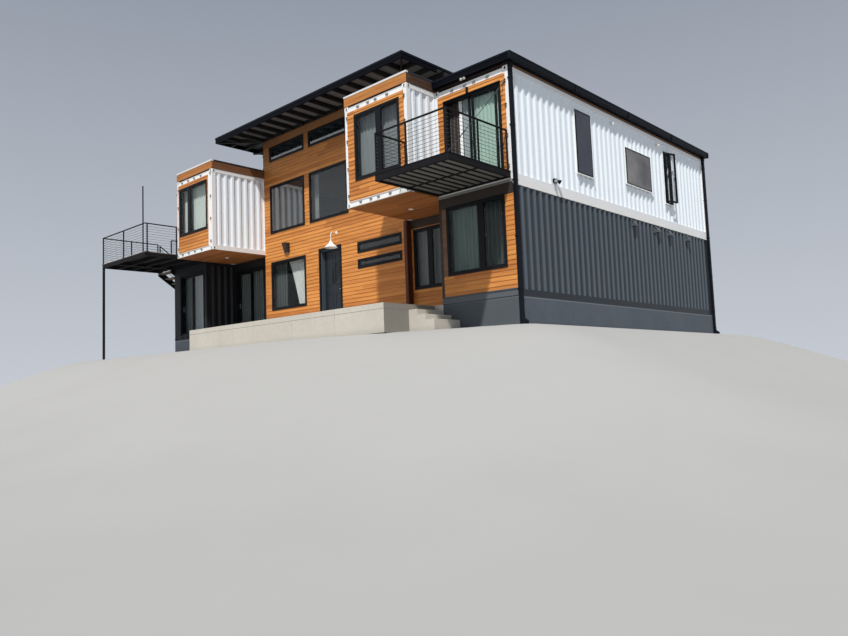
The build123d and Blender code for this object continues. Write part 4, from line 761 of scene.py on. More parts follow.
hole_shades.make("casting_holes", HOLE_SHADE, "black_trim")

# Door keepers left on the container ends, and the hinge lugs on their posts
keepers, low_keepers, lugs = Kit(), Kit(), Kit()


def keeper(kit, x, face, z, up):
    """A cast keeper: a base with two cheeks and a notch."""
    kit.box(about(x, 0.045), (face - 0.01, face), about(z, 0.03))
    side = [(face - 0.01, z - 0.026), (face - 0.04, z - 0.012 * up - 0.01), (face - 0.04, z + 0.012),
            (face - 0.01, z + 0.028)]
    for a in (x - 0.038, x + 0.016):
        kit.prism([(a, y, h) for y, h in side], (0.022, 0, 0))


def lug(x0, face, z, out):
    """A pair of hinge lugs with their pin."""
    shape = ((0.118, 0.001), (0.063, 0.001), (0.068, 0.03), (0.09, 0.042), (0.112, 0.03))
    for dz in (-0.036, 0.026):
        lugs.prism([(x0 + out * q, face - d, z + dz) for q, d in shape], (0, 0, 0.012))
    lugs.pipe([(x0 + out * 0.09, face - 0.024, z + dz) for dz in (-0.034, 0.038)], 0.008)


for face, xs in ((YBR, (4.23, 4.64, 4.94, 5.39)), (YBL, (-5.695, -5.257, -4.828, -4.368)),
                 (YF, (6.72, 7.16, 7.47, 7.91))):
    for x in xs:
        keeper(keepers, x, face - 0.012, 6.428, 1)
        if face != YF:
            keeper(keepers, x, face - 0.01, ZJ + 0.085, -1)
for x in (-7.93, -7.49, -7.14, -6.7):
    keeper(low_keepers, x, YOL, ZB + 0.085, -1)
EVEN = (6.21, 5.53, 4.74, 3.98)
for x0, face, out, heights in (
        (XI, YBR, -1, EVEN), (-XM, YBL, -1, (6.386, 5.555, 4.75, 3.948)),
        (XO, YF, -1, (6.155, 5.527, 4.759, 3.98)), (XM, YBR, 1, EVEN), (-XI, YBL, 1, EVEN)):
    for z in heights:
        lug(x0, face, z, out)
keepers.make("door_keepers", KEEPER_AND_RAIL_SHADE, "white_paint", 0.0015)
low_keepers.make("low_door_keepers", BLACK_SKIN, "black_trim", 0.0015)
lugs.make("hinge_lugs", RUSTY, "steel")

# Black casings, sashes and beads of the windows, with the glass just behind their face
casings, sashes, beads = Kit(), Kit(), Kit()
clear, mirror, strong, high, tinted, hazed = Kit(), Kit(), Kit(), Kit(), Kit(), Kit()
STILE, WIDE = 0.032, 0.0935


def casing(h, face, bar=0.06, grow=CASE, proud=0.03, out=-1, low=True):
    casings.frame4("x", (h[0] - grow, h[1] + grow), (face + out * proud, face - out * 0.04),
                   (h[2] - (grow if low else 0), h[3] + grow), (bar, bar, bar if low else 0, bar))


def sash(along, face, out, z, left, right, panes):
    """A sash from its outer face inwards, with beads and a pane."""
    sashes.frame4("x", along, (face, face - out * 0.055), z, (left, right, STILE, STILE))
    inner = (along[0] + left, along[1] - right)
    tall = (z[0] + STILE, z[1] - STILE)
    beads.frame4("x", inner, (face - out * 0.008, face - out * 0.03), tall, (0.008,) * 4)
    panes.box((inner[0] - 0.006, inner[1] + 0.006), (face - out * 0.016, face - out * 0.022),
              (tall[0] - 0.006, tall[1] + 0.006))


for i, h in enumerate(GREAT + GREAT[:5]):
    face, out = (YG, -1) if i < len(GREAT) else (YB, 1)
    casing(h, face, out=out)
    sash((h[0] + 0.03, h[1] - 0.03), face + out * 0.022, out, (h[2] + 0.03, h[3] - 0.03), STILE, STILE,
         (high, high, strong, mirror, clear, mirror, mirror, high, high, mirror, mirror, mirror)[i])
for h, face, split, proud in PAIRS:
    casing(h, face, proud=proud)
    z = (h[2] + 0.03, h[3] - 0.03)
    sash((h[0] + 0.03, split), face - proud + 0.008, -1, z, STILE, WIDE, clear)
    sash((split, h[1] - 0.03), face - proud + 0.012, -1, z, WIDE, STILE, clear)
casing(UPPER_R, YF, bar=0.032, grow=0.014, proud=0.026, low=False)
casing(OUTER_L, YOL, bar=0.045, proud=0.014, low=False)
casing(RECESS_L, YR, bar=0.045, proud=0.016, low=False)
casings.frame4("x", (ENTRY[0] - 0.06, ENTRY[1] + 0.06), (YG - 0.03, YG + 0.02),
               (ZB + 0.002, ENTRY[3] + 0.055), (0.075, 0.075, 0, 0.075))
for k, (a, b, c, d) in enumerate(SIDE):
    for face, out in ((XO + 0.014, 1), (-XI - 0.014, -1)):
        if k < 2 or out < 0:
            casings.frame4("y", (a - 0.004, b + 0.004), (face, face - out * 0.06), (c - 0.004, d + 0.004),
                           (0.028,) * 4)
            sashes.frame4("y", (a + 0.024, b - 0.024), (face + out * 0.004, face - out * 0.0015),
                          (c + 0.024, d - 0.024), (0.014,) * 4)
            pane = hazed if k == 1 else tinted
            pane.slab("y", (a + 0.036, b - 0.036), (face + out * 0.002, face - out * 0.0012),
                      (c + 0.036, d - 0.036))
casings.make("window_casings", FRAME_BLACK, "black_trim", 0.0025)
sashes.make("window_sashes", FRAME_BLACK, "black_trim", 0.002)
beads.make("glazing_beads", BLACK, "black_trim")

# The open sash at the right, its glass, its arms and handle, and latches on the others
TURN = math.radians(18)
a, b, c, d = SIDE[2]
HINGE = Vector((XO + 0.006, a + 0.04, 0))


def swung(x, y, z):
    """A place on the open sash: out from its inner face, along it from the hinge, and up."""
    cos, sin = math.cos(TURN), math.sin(TURN)
    return HINGE + Vector((x * cos + y * sin, y * cos - x * sin, z))


def leaf_box(kit, x, y, z):
    kit.prism([swung(p, q, z[0]) for p, q in ((x[0], y[0]), (x[1], y[0]), (x[1], y[1]), (x[0], y[1]))],
              (0, 0, z[1] - z[0]))


wide, zl, zh = b - a - 0.08, c + 0.04, d - 0.04
leaf_box(clear, (0.018, 0.026), (0.045, wide - 0.045), (zl + 0.045, zh - 0.045))
kit = Kit()
for y in ((0.05, 0.058), (wide - 0.058, wide - 0.05)):
    leaf_box(kit, (0.01, 0.034), y, (zl + 0.05, zh - 0.05))
for z in ((zl + 0.05, zl + 0.058), (zh - 0.058, zh - 0.05)):
    leaf_box(kit, (0.01, 0.034), (0.058, wide - 0.058), z)
kit.make("open_sash_beads", BLACK, "black_trim")
for kit, name, mat in (
        (clear, "clear", GLASS), (mirror, "large", SKY_GLASS), (strong, "bright", MIRROR_GLASS),
        (high, "high", HIGH_GLASS), (tinted, "tinted", TINTED), (hazed, "hazed", HAZED)):
    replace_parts(kit.make(name + "_panes", mat, "window_glass"), "window_panes")
kit = Kit()
for h, face, split, proud in PAIRS:
    for z in (h[2] + 0.5, h[3] - 0.5):
        x = split + 0.06
        kit.box(about(x, 0.012), (face + 0.035, face + 0.05), about(z, 0.045))
        kit.pipe([(x, face + 0.048, z), (x, face + 0.076, z), (x, face + 0.082, z - 0.02),
                  (x, face + 0.082, z - 0.1)], 0.008, 8)
for z in (zl + 0.012, zh - 0.012):
    kit.pipe([(XO - 0.03, a + 0.42, z), swung(-0.004, 0.3, z)], 0.007, 8)
    leaf_box(kit, (-0.008, 0.0), (0.22, 0.38), about(z, 0.01))
    kit.box((XO - 0.055, XO - 0.008), (a + 0.38, a + 0.46), about(z, 0.01))
z = (zl + zh) / 2
kit.pipe([swung(x, wide - 0.025, z + h) for x, h in ((0.0, 0.05), (-0.028, 0.04), (-0.03, -0.07))], 0.008, 8)
kit.make("window_latches", ROD, "steel", smooth=True)

# White ledges under the windows of the upper side walls, and thin flanges round them
kit = Kit()
for face, out in ((XO - 0.008, 1), (-XI + 0.008, -1)):
    for a, b, c, d in SIDE:
        kit.prism([(face + out * x, a - 0.055, c + z) for x, z in (
            (0, -0.004), (0.055, -0.014), (0.055, -0.048), (0.047, -0.048), (0.045, -0.026), (0, -0.02))],
            (0, b - a + 0.11, 0))
        kit.frame4("y", (a - 0.022, b + 0.022), (face - out * 0.036, face + out * 0.01),
                   (c - 0.004, d + 0.022), (0.022, 0.022, 0, 0.022))
kit.make("window_ledges", WHITE_TRIM, "white_paint", 0.001)

# Edges of the low roof: gutter on the right, drip edges in front and behind, covers over the joints
kit = Kit()
gx, gy, zl, zh = XO + 0.125, YB + 0.125, 6.617, 6.812
kit.prism([(gx + x, -gy, z) for x, z in (
    (0, zl), (0.03, zl + 0.006), (0.052, zl + 0.05), (0.06, zh - 0.05), (0.072, zh - 0.03),
    (0.072, zh - 0.004), (0.058, zh - 0.004), (0.058, zh - 0.02), (0, zh - 0.02))], (0, 2 * gy, 0))
for y in (-6.221, -3.11, 0.0, 3.11, 6.221):
    kit.box((gx, gx + 0.076), about(y, 0.018), (zl - 0.002, zh - 0.002))
for s in (-1, 1):
    kit.box((XI, gx), (s * gy, s * (gy + 0.012)), (zh - 0.045, zh + 0.004))
    kit.box((XI, gx), (s * gy, s * (gy + 0.006)), (zl, zl + 0.016))
kit.box((XI - 0.004, gx + 0.01), (-6.235, 6.235), (zh, zh + 0.008))
kit.make("low_roof_gutter", BLACK, "black_trim", 0.002)
span = (XI + 0.05, gx - 0.03)
seams = [(span, (i - 6.1, i - 6.1 + 0.08), (zh + 0.011, zh + 0.0135)) for i in range(13)]
blocks("low_roof_membrane", MEMBRANE, "roof_skin", 0,
       (span, (-6.19, 6.19), (zh + 0.008, zh + 0.011)), *seams)

# Main roof: metal edge, and the membrane's seams
kit = Kit()
fx, fy0, fy1, ft = 4.9335, -6.1375, 7.3725, 8.16
kit.sweep([(0, -0.055), (0.01, -0.06), (0.01, 0.004), (-0.1, 0.01), (-0.1, 0.0)],
          [(-fx, fy0, ft), (fx, fy0, ft), (fx, fy1, ft), (-fx, fy1, ft)], closed=True)
kit.make("main_roof_edge", BLACK, "black_trim")
long_seams = [((x - 0.02, x + 0.06), (fy0 + 0.12, fy1 - 0.12), (8.14, 8.144))
              for x in (i * 1.09 - fx for i in range(1, 9))]
cross_seams = [((-fx + 0.12, fx - 0.12), about(y, 0.04), (8.1405, 8.1435))
               for y in (fy0 + i * 2.7 for i in range(1, 5))]
blocks("main_roof_seams", MEMBRANE, "roof_skin", 0, *long_seams, *cross_seams)

# Lips of the metal caps on the parapets
for side, s, front in (("right", 1, YBR), ("left", -1, YBL)):
    near, far, z = s * XM, s * XI, 6.815
    kit = Kit()
    kit.sweep([(-s * d, h) for d, h in ((0.02, 0.0), (0.026, -0.022), (0.031, -0.022), (0.031, 0.044),
                                        (-0.02, 0.052), (-0.02, 0.035), (0.02, 0.035))],
              [(near, YG - 0.03, z), (near, front, z), (far, front, z), (far, YB, z)])
    kit.make(f"{side}_cap_lip", CAPS, "white_paint")

# Downspout straps, outlets and shoes, and the pipe from the main roof
kit = Kit()
for y in (-6.041, 6.041):
    for z in (0.9, 2.2, 3.6, 5.0, 6.2):
        kit.box((XO + 0.001, XO + 0.084), about(y, 0.056), about(z, 0.018))
        for s in (-1, 1):
            kit.box((XO - 0.004, XO + 0.006), (y + s * 0.056, y + s * 0.082), about(z, 0.018))
    kit.prism([(XO + x, y - 0.052, z) for x, z in ((0.004, 0.32), (0.084, 0.32), (0.084, 0.2), (0.2, 0.11),
                                                  (0.18, 0.03), (0.004, 0.1))], (0, 0.104, 0))
    kit.box((XO + 0.002, XO + 0.092), about(y, 0.06), (6.5, 6.56))
kit.pipe([(-4.82, -4.51, 7.96), (-4.82, -4.51, 7.9), (-4.79, -4.53, 7.86), (-3.8, -4.79, 7.585),
          (-3.745, -4.8, 7.555), (-3.735, -4.8, 7.49), (-3.735, -4.8, 6.8), (-3.745, -4.8, 6.7),
          (-3.8, -4.8, 6.63)], 0.038, 14)
for z in (7.42, 6.95):
    kit.box((-3.78, -3.658), (-4.85, -4.75), about(z, 0.014))
kit.make("downspout_fittings", BLACK, "black_trim", 0.0015)

# Lamps
black, white, lens, bronze = Kit(), Kit(), Kit(), Kit()


def lamp_head(kit, centre, aim, r=0.055, length=0.1):
    """A bell-shaped lamp head with fins and a lens."""
    kit.lathe(centre, aim, [(length * t, r * q) for t, q in (
        (0, 0), (0, 0.45), (0.2, 0.62), (0.25, 0.62), (0.3, 0.8), (0.55, 0.9), (0.6, 1), (1, 1), (1, 0.9),
        (0.86, 0.86))])
    lens.lathe(centre, aim, [(length * t, r * q) for t, q in ((0.8, 0), (0.86, 0.5), (0.86, 0.87))])


for x, s, y, z in ((XO - 0.008, 1, -4.17, 3.93), (-XI + 0.008, -1, -6.9, 6.12)):
    black.lathe((x - s * 0.03, y, z), (s, 0, 0), [(0, 0), (0, 0.06), (0.04, 0.06), (0.05, 0.052), (0.05, 0)],
                28)
    for t in (-1, 1):
        black.pipe([(x + s * 0.015, y + t * 0.03, z), (x + s * 0.035, y + t * 0.045, z),
                    (x + s * 0.05, y + t * 0.06, z - 0.006)], 0.014, 12)
        lamp_head(black, (x + s * 0.05, y + t * 0.06, z - 0.004), (s * 0.9, t * 0.75, -0.7))
    black.lathe((x + s * 0.018, y, z - 0.05), (s * 0.7, 0, -0.7),
                [(0, 0), (0, 0.022), (0.03, 0.026), (0.05, 0.02), (0.058, 0)], 16)
lx, ly = 7.1685, -6.16
white.lathe((lx, ly, 6.617), (0, 0, -1), [(0, 0), (0, 0.05), (0.012, 0.05), (0.016, 0.04), (0.016, 0)])
for t in (-1, 1):
    white.pipe([(lx + t * 0.015, ly, 6.605), (lx + t * 0.03, ly - 0.005, 6.595),
                (lx + t * 0.036, ly - 0.012, 6.59)], 0.01)
    lamp_head(white, (lx + t * 0.038, ly, 6.606), (t * 0.35, -0.75, -0.5), 0.036, 0.065)
for x, y in ((4.7235, -5.756), (-4.9365, -5.716)):
    white.lathe((x, y, ZJ), (0, 0, -1), [(0, 0.08), (0.006, 0.078), (0.009, 0.066), (0.004, 0.056)], 32)
    lens.lathe((x, y, ZJ), (0, 0, -1), [(0.004, 0.057), (0.006, 0.0)], 32)
hx, hy, hz = 7.2485, -6.141, 6.19
black.lathe((hx, hy, hz), (0, 0, 1), [
    (0.004, 0.0), (0.004, 0.026), (0.0, 0.03), (0.0, 0.035), (0.02, 0.035), (0.022, 0.033), (0.128, 0.033),
    (0.13, 0.035), (0.15, 0.035), (0.15, 0.03), (0.146, 0.026), (0.146, 0.0)], 28)
black.box(about(hx, 0.018), (YF - 0.012, SKIN), (hz + 0.04, hz + 0.11))
black.box(about(hx, 0.007), (hy, YF), (hz + 0.068, hz + 0.082))
xa, xb = XO - 10.93, XO - 10.73
zl, zh = ZB + 2.78, ZB + 3.12
bronze.prism([(xa, YG - y, z) for y, z in (
    (0.002, zl), (0.078, zl), (0.198, zh - 0.012), (0.198, zh), (0.002, zh))], (xb - xa, 0, 0))
bronze.box((xa - 0.006, xb + 0.006), (YG - 0.204, YG - 0.002), (zh - 0.002, zh + 0.008))
bronze.box((xa - 0.006, xb + 0.006), (YG - 0.086, YG - 0.002), (zl - 0.006, zl + 0.004))
bronze.box((xa - 0.03, xb + 0.03), (YG - 0.024, YG - 0.016), (zl - 0.02, zh + 0.02))
lens.box((xa + 0.02, xb - 0.02), (YG - 0.066, YG - 0.026), (zl - 0.009, zl - 0.005))
for kit, name, mat, slot in (
        (black, "black_lamps", BLACK, "black_trim"), (white, "white_lamps", LAMP_WHITE, "white_paint"),
        (bronze, "wall_lamp", BRONZE, "black_trim"), (lens, "lamp_lenses", WHITE_CLOTH, "white_paint")):
    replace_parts(kit.make(name, mat, slot, smooth=True), "outside_lights")

# Shaded lamp over the front door
kit, bulb = Kit(), Kit()
lx, ly, rim, neck = XO - 8.13, YG - 0.26, ZB + 2.53, ZB + 2.71
kit.lathe((lx, ly, rim), (0, 0, 1), [
    (0.0, 0.212), (-0.004, 0.22), (0.006, 0.222), (0.02, 0.205), (0.05, 0.175), (0.095, 0.12), (0.13, 0.078),
    (0.16, 0.058), (0.18, 0.05), (0.215, 0.046), (0.225, 0.03), (0.24, 0.018), (0.24, 0.0)], 40)
kit.lathe((lx, ly, rim), (0, 0, 1), [(0.0, 0.212), (0.02, 0.198), (0.055, 0.165), (0.11, 0.09), (0.15, 0.05),
                                     (0.15, 0.0)], 40)
turn = [math.pi / 2 * i / 8 for i in range(1, 9)]
kit.pipe([(lx, ly, neck + 0.05), (lx, ly, neck + 0.24)]
         + [(lx, ly + 0.11 * (1 - math.cos(t)), neck + 0.24 + 0.11 * math.sin(t)) for t in turn]
         + [(lx, YG - 0.012, neck + 0.35)], 0.013, 14)
kit.lathe((lx, YG - 0.002, neck + 0.35), (0, -1, 0), [
    (0, 0), (0, 0.06), (0.008, 0.06), (0.018, 0.045), (0.022, 0.022), (0.03, 0.018), (0.03, 0)], 28)
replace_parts(kit.make("entry_lamp", LAMP_WHITE, "white_paint", smooth=True), "barn_light")
bulb.lathe((lx, ly, rim), (0, 0, 1), [
    (0.015, 0.0), (0.02, 0.025), (0.045, 0.034), (0.08, 0.028), (0.13, 0.018), (0.15, 0.018)], 20)
bulb.make("entry_lamp_bulb", WHITE_CLOTH, "white_paint", smooth=True)

# Vent hoods on the right wall, with a dark plate in each mouth as painted shade
hoods, mouth_shades, white = Kit(), Kit(), Kit()
x0 = XO - 0.008
for a, b in ((6.2, 6.42), (7.8, 8.06), (8.72, 8.96), (10.2, 10.42)):
    a, b, zl, zh = YF + a, YF + b, ZB + 2.52, ZB + 2.69
    hoods.box((x0 - 0.04, x0 + 0.006), (a - 0.022, b + 0.022), (zl - 0.018, zh + 0.022))
    hoods.prism([(x0 + x, a, z) for x, z in ((0, zh), (0.035, zh - 0.004), (0.1, zl + 0.07), (0.1, zl),
                                             (0.09, zl), (0.09, zl + 0.062), (0, zh - 0.02))], (0, b - a, 0))
    for y in (a, b - 0.006):
        hoods.prism([(x0 + x, y, z) for x, z in ((0, zh - 0.004), (0.034, zh - 0.006), (0.098, zl + 0.068),
                                                 (0.098, zl + 0.002), (0, zl + 0.002))], (0, 0.006, 0))
    mouth_shades.box((x0 + 0.004, x0 + 0.088), (a + 0.008, b - 0.008), (zl + 0.02, zl + 0.024))
for y in (YF + 5.271, YF + 8.371):
    white.lathe((x0 - 0.04, y, ZB + 5.525), (1, 0, 0), [
        (0, 0), (0, 0.07), (0.048, 0.07), (0.052, 0.062), (0.056, 0.04), (0.09, 0.04), (0.09, 0.052),
        (0.114, 0.05), (0.122, 0.036), (0.122, 0.0)], 28)
for obj in (hoods.make("vent_covers", SLATE_TRIM, "slate_paint", 0.0015),
            mouth_shades.make("vent_mouths", HOLE_SHADE, "black_trim"),
            white.make("high_vent_covers", WHITE_TRIM, "white_paint", smooth=True)):
    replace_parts(obj, "vent_hoods")

# Front door: raised mouldings, a lever, a bolt and a foot plate
kit, lever = Kit(), Kit()
face, hx = -4.711, 0.472
for xa, xb in ((-0.33, 0.00), (0.107, 0.437)):
    for za, zb in ((2.1, 3.16), (1.08, 1.82)):
        kit.frame4("x", (xa, xb), (face - 0.008, face), (za, zb), (0.02,) * 4)
        kit.frame4("x", (xa + 0.028, xb - 0.028), (face - 0.004, face), (za + 0.028, zb - 0.028),
                   (0.01,) * 4)
kit.make("front_door_mouldings", DOOR, "slate_paint", 0.003, body="front_door")
lever.lathe((hx, face, 1.93), (0, -1, 0), [(0, 0), (0, 0.028), (0.01, 0.028), (0.012, 0.012), (0.05, 0.01),
                                           (0.05, 0.0)])
lever.pipe([(hx, face - 0.046, 1.93), (hx - 0.02, face - 0.05, 1.93), (hx - 0.115, face - 0.05, 1.928)],
           0.009, 12)
lever.lathe((hx, face, 2.07), (0, -1, 0), [(0, 0), (0, 0.027), (0.012, 0.027), (0.016, 0.02), (0.016, 0.0)])
lever.box((-0.4, 0.51), (face - 0.003, face), (0.935, 1.02))
lever.make("front_door_lever", STEEL, "steel", smooth=True, body="front_door")
kit = Kit()
kit.prism([(ENTRY[0] + 0.046, YG + y, ZB + z) for y, z in (
    (-0.05, 0.15), (-0.05, 0.13), (0.02, 0.13), (0.02, 0.1605), (-0.02, 0.1605))],
    (ENTRY[1] - ENTRY[0] - 0.092, 0, 0))
kit.make("front_door_sill", STEEL, "steel", 0.002)


def grip(kit, x, y, z, deep):
    """A bar handle on the inner face of a sliding panel."""
    kit.pipe([(x, y + d, z + h) for d, h in ((0, 0), (deep - 0.004, 0.01), (deep, 0.03), (deep, 0.19),
                                             (deep - 0.004, 0.21), (0, 0.22))], 0.008)


# Pulls on the sliding leaves: flush outside, a bar inside
for body, x, y in (("outer_slider", -7.9625, -5.816), ("recess_slider", -5.8525, -4.571)):
    kit = Kit()
    kit.frame4("x", about(x, 0.016), (y - 0.006, y), (1.86, 2.06), (0.005,) * 4)
    kit.box(about(x, 0.011), (y - 0.002, y), (1.865, 2.055))
    grip(kit, x, y + 0.04, 1.85, 0.034)
    kit.make(f"{body}_pull", STEEL, "steel", smooth=True, body=body)
kit = Kit()
grip(kit, 7.1995, YF + 0.13, 4.85, 0.032)
kit.make("upper_door_pull", STEEL, "steel", smooth=True)


def boards(name, x, y, top, node, seed):
    """Deck boards side by side across y, the long ones with a butt joint."""
    rng = random.Random(seed)
    rows, wide, gap = [], 0.14, 0.005
    count = max(1, round((y[1] - y[0]) / (wide + gap)))
    pitch = (y[1] - y[0] + gap) / count
    for i in range(count):
        lo = y[0] + i * pitch
        drop = rng.uniform(0, 0.0015)
        split = x[0] + (x[1] - x[0]) * rng.uniform(0.35, 0.65)
        ends = [x] if x[1] - x[0] < 2.5 else [(x[0], split - 0.001), (split + 0.001, x[1])]
        rows += [(end, (lo, lo + pitch - gap), (top - 0.025, top - drop)) for end in ends]
    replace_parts(blocks(name, DECKING, "deck_wood", 0.003, *rows), node)


BALCONY_TOP, DECK_TOP = 3.84, 3.81


# Boards and underside of the balcony, and boards of the deck. BX and BY are the ends of the balcony's floor
BX, BY = (6.1635, 8.4235), (-8.386, -6.16)
boards("balcony_planks", BX, BY, BALCONY_TOP, "balcony_floor", 21)
boards("deck_planks_main", (-XO, -6.1105), (-8.346, -2.436), DECK_TOP, "deck_boards", 22)
boards("deck_planks_landing", (-9.6635, -XO - 0.0005), (-8.346, -6.036), DECK_TOP, "deck_boards", 23)
bay = (BX[1] - BX[0]) / 9
rows = [((BX[0] + i * bay + (0.026 if i else 0.001), BX[0] + (i + 1) * bay - (0.026 if i < 8 else 0.001)), y,
         (3.716, 3.719)) for i in range(9) for y in ((-8.385, -7.299), (-7.247, -6.161))]
blocks("balcony_pan", UNDER, "steel", 0, *rows)
kit = Kit()
for run, along, line, out in (("x", (6.1035, 8.4835), -8.446, -1), ("y", (-8.446, -6.1), 8.4835, 1),
                              ("y", (-8.446, -6.1), 6.1035, -1)):
    for z in (3.67, 3.824):
        kit.slab(run, along, (line, line + out * 0.01), (z, z + 0.016))
kit.make("balcony_channel_lips", CHANNEL, "steel", 0.002)

# Railings of the balcony and of the deck: posts on bolted plates, a top rail, cables and their sleeves
plates, bolts = Kit(), Kit()
BOLT = [(0, 0), (0, 0.009), (0.006, 0.009), (0.006, 0.005), (0.012, 0.005), (0.012, 0)]
CABLES = 10


def spot(run, along, line, z):
    return (along, line, z) if run == "x" else (line, along, z)


def rail_line(kit, run, along, line, z, posts):
    """A run of railing; posts are the places along it, and the cables pass from end to end."""
    for q in posts:
        x, y, foot = spot(run, q, line, z)
        kit.box(about(x, 0.019), about(y, 0.019), (foot, foot + 1.032))
        plates.box(about(x, 0.045), about(y, 0.045), (foot, foot + 0.008))
        for bx in about(x, 0.032):
            for by in about(y, 0.032):
                bolts.lathe((bx, by, foot + 0.008), (0, 0, 1), BOLT, 6)
    kit.slab(run, along, about(line, 0.022), (z + 1.026, z + 1.05))
    kit.slab(run, along, about(line, 0.012), (z + 1.012, z + 1.026))
    for i in range(CABLES):
        h = z + (i + 1) * 1.01 / (CABLES + 1)
        kit.pipe([spot(run, q, line, h) for q in along], 0.0055, 6)
        for q, s in ((along[0] + 0.02, 0.055), (along[1] - 0.02, -0.055)):
            bolts.pipe([spot(run, t, line, h) for t in (q, q + s)], 0.0075, 8)


kit = Kit()
cx, cy = 8.425, -8.416
rail_line(kit, "x", (6.11, cx + 0.019), cy, BALCONY_TOP, (6.129, 7.16, cx))
rail_line(kit, "y", (cy, -6.105), cx, BALCONY_TOP, (-7.27, -6.125))
rail_line(kit, "y", (cy, -7.35), 6.129, BALCONY_TOP, (-7.369,))
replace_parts(kit.make("balcony_rails", RAIL, "black_trim", 0.002), "balcony_railing")
kit = Kit()
px, py = -6.331, -8.321
rail_line(kit, "x", (-9.658, px + 0.02), py, DECK_TOP, (-9.6385, -7.86))
rail_line(kit, "y", (py, -7.082), -6.1355, DECK_TOP, (-8.243, -7.102))
kit.box((px, -6.1135), about(py, 0.022), (DECK_TOP + 1.026, DECK_TOP + 1.05))
rail_line(kit, "y", (py, -6.036), -9.6385, DECK_TOP, (-7.18, -6.056))
rail_line(kit, "y", (-6.036, -2.44), -8.5085, DECK_TOP, (-6.056, -4.85, -3.65, -2.461))
rail_line(kit, "x", (-8.5085, -6.112), -2.461, DECK_TOP, (-7.32, -6.134))
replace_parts(kit.make("deck_rails", RAIL, "black_trim", 0.002), "deck_railing")
kit = Kit()
kit.box((-9.6635, -9.5885), (-8.346, -8.271), (0.0, ZJ))
for z in ((0.0, 0.012), (ZJ - 0.01, ZJ)):
    kit.box((-9.6635, -9.5485), (-8.346, -8.231), z)
for profile in ([(0, 0), (0, 0.0225), (2.43, 0.0225), (2.44, 0.018), (2.44, 0)],
                [(0, 0.0225), (0, 0.05), (0.008, 0.05), (0.01, 0.0225)]):
    kit.lathe((px, py + 0.02, DECK_TOP), (0, 0, 1), profile, 16)
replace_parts(kit.make("deck_post_and_pole", RAIL, "black_trim", 0.003), "deck_posts")
plates.make("railing_plates", RAIL, "black_trim", 0.001)
bolts.make("railing_sleeves", ROD, "steel")

# Balcony stay: clevis, turnbuckle and pins
kit = Kit()
sx = 8.4035
a, b = Vector((sx, -8.366, 3.86)), Vector((sx, -6.116, 6.1))
d = (b - a).normalized()
across = Vector((1, 0, 0))
m = a + d * 0.62
for p, q, r, n in ((a + d * 0.03, a + d * 0.12, 0.014, 12), (b - d * 0.12, b - d * 0.03, 0.014, 12),
                   (m - across * 0.016, m - across * 0.016 + d * 0.22, 0.006, 8),
                   (m + across * 0.016, m + across * 0.016 + d * 0.22, 0.006, 8),
                   (m - d * 0.03, m + d * 0.01, 0.02, 12), (m + d * 0.21, m + d * 0.25, 0.02, 12),
                   (a - across * 0.03, a + across * 0.03, 0.008, 10),
                   (b - across * 0.03, b + across * 0.03, 0.008, 10)):
    kit.pipe([p, q], r, n)
kit.box(about(sx, 0.045), (-6.104, -6.096), (6.02, 6.18))
kit.box(about(sx, 0.045), (-8.44, -8.3), (3.84, 3.848))
kit.make("stay_fittings", ROD, "steel", smooth=True)

# Stair: nosing strips and cleats under the treads
kit, cleats = Kit(), Kit()
for i in range(19):
    top = DECK_TOP - (i + 1) * DECK_TOP / 20
    low = -6.036 + i * 0.28 + 0.0005
    kit.box((-9.616, -8.611), (low + 0.262, low + 0.283), (top - 0.03, top + 0.0025))
    for x, s in ((-9.6185, 1), (-8.6085, -1)):
        cleats.box((x, x + s * 0.035), (low + 0.03, low + 0.25), (top - 0.046, top - 0.04))
kit.make("stair_nosings", RAIL, "black_trim", 0.001)
cleats.make("stair_cleats", CHANNEL, "steel")

# Curtains on their rails
rails = Kit()
curtain_list = []


def curtain(name, mat, x, y, z, folds, seed, depth=0.02, gather=0.0):
    """A hung curtain: pleats at the top that wander on the way down; gather draws its foot to the right."""
    rng = random.Random(seed)
    nu, nv = folds * 10, 14
    wave = [rng.uniform(0.65, 1.25) for _ in range(folds + 1)]
    slip = [rng.uniform(-0.35, 0.35) for _ in range(folds + 1)]
    kit, rows = Kit(), []
    for j in range(nv + 1):
        v = j / nv
        row = []
        for i in range(nu + 1):
            u = i / nu
            f = u * folds
            k = min(int(f), folds - 1)
            e = f - k
            amp = wave[k] * (1 - e) + wave[k + 1] * e
            off = (slip[k] * (1 - e) + slip[k + 1] * e) * v
            side = math.sin(2 * math.pi * f + off)
            px = x[1] - (x[1] - x[0]) * (1 - u) * (1 - gather * v ** 0.8) * (1 - 0.02 * v)
            py = y + depth * amp * (0.75 + 0.25 * v) * side + 0.004 * math.sin(7 * v + k)
            row.append(Vector((px, py, z[1] - (z[1] - z[0]) * v)))
        rows.append(row)
    kit.v = [p for row in rows for p in row]
    kit.f = grid_faces(nv + 1, nu + 1)
    obj = kit.make(name, mat, smooth=True)
    width = sum(sum((row[i + 1] - row[i]).length for i in range(nu)) for row in rows) / len(rows)
    length = sum((rows[j + 1][nu // 2] - rows[j][nu // 2]).length for j in range(nv))
    curtain_list.append((obj, (width, length)))
    rails.pipe([(x[0] - 0.06, y, z[1] + 0.012), (x[1] + 0.06, y, z[1] + 0.012)], 0.014)


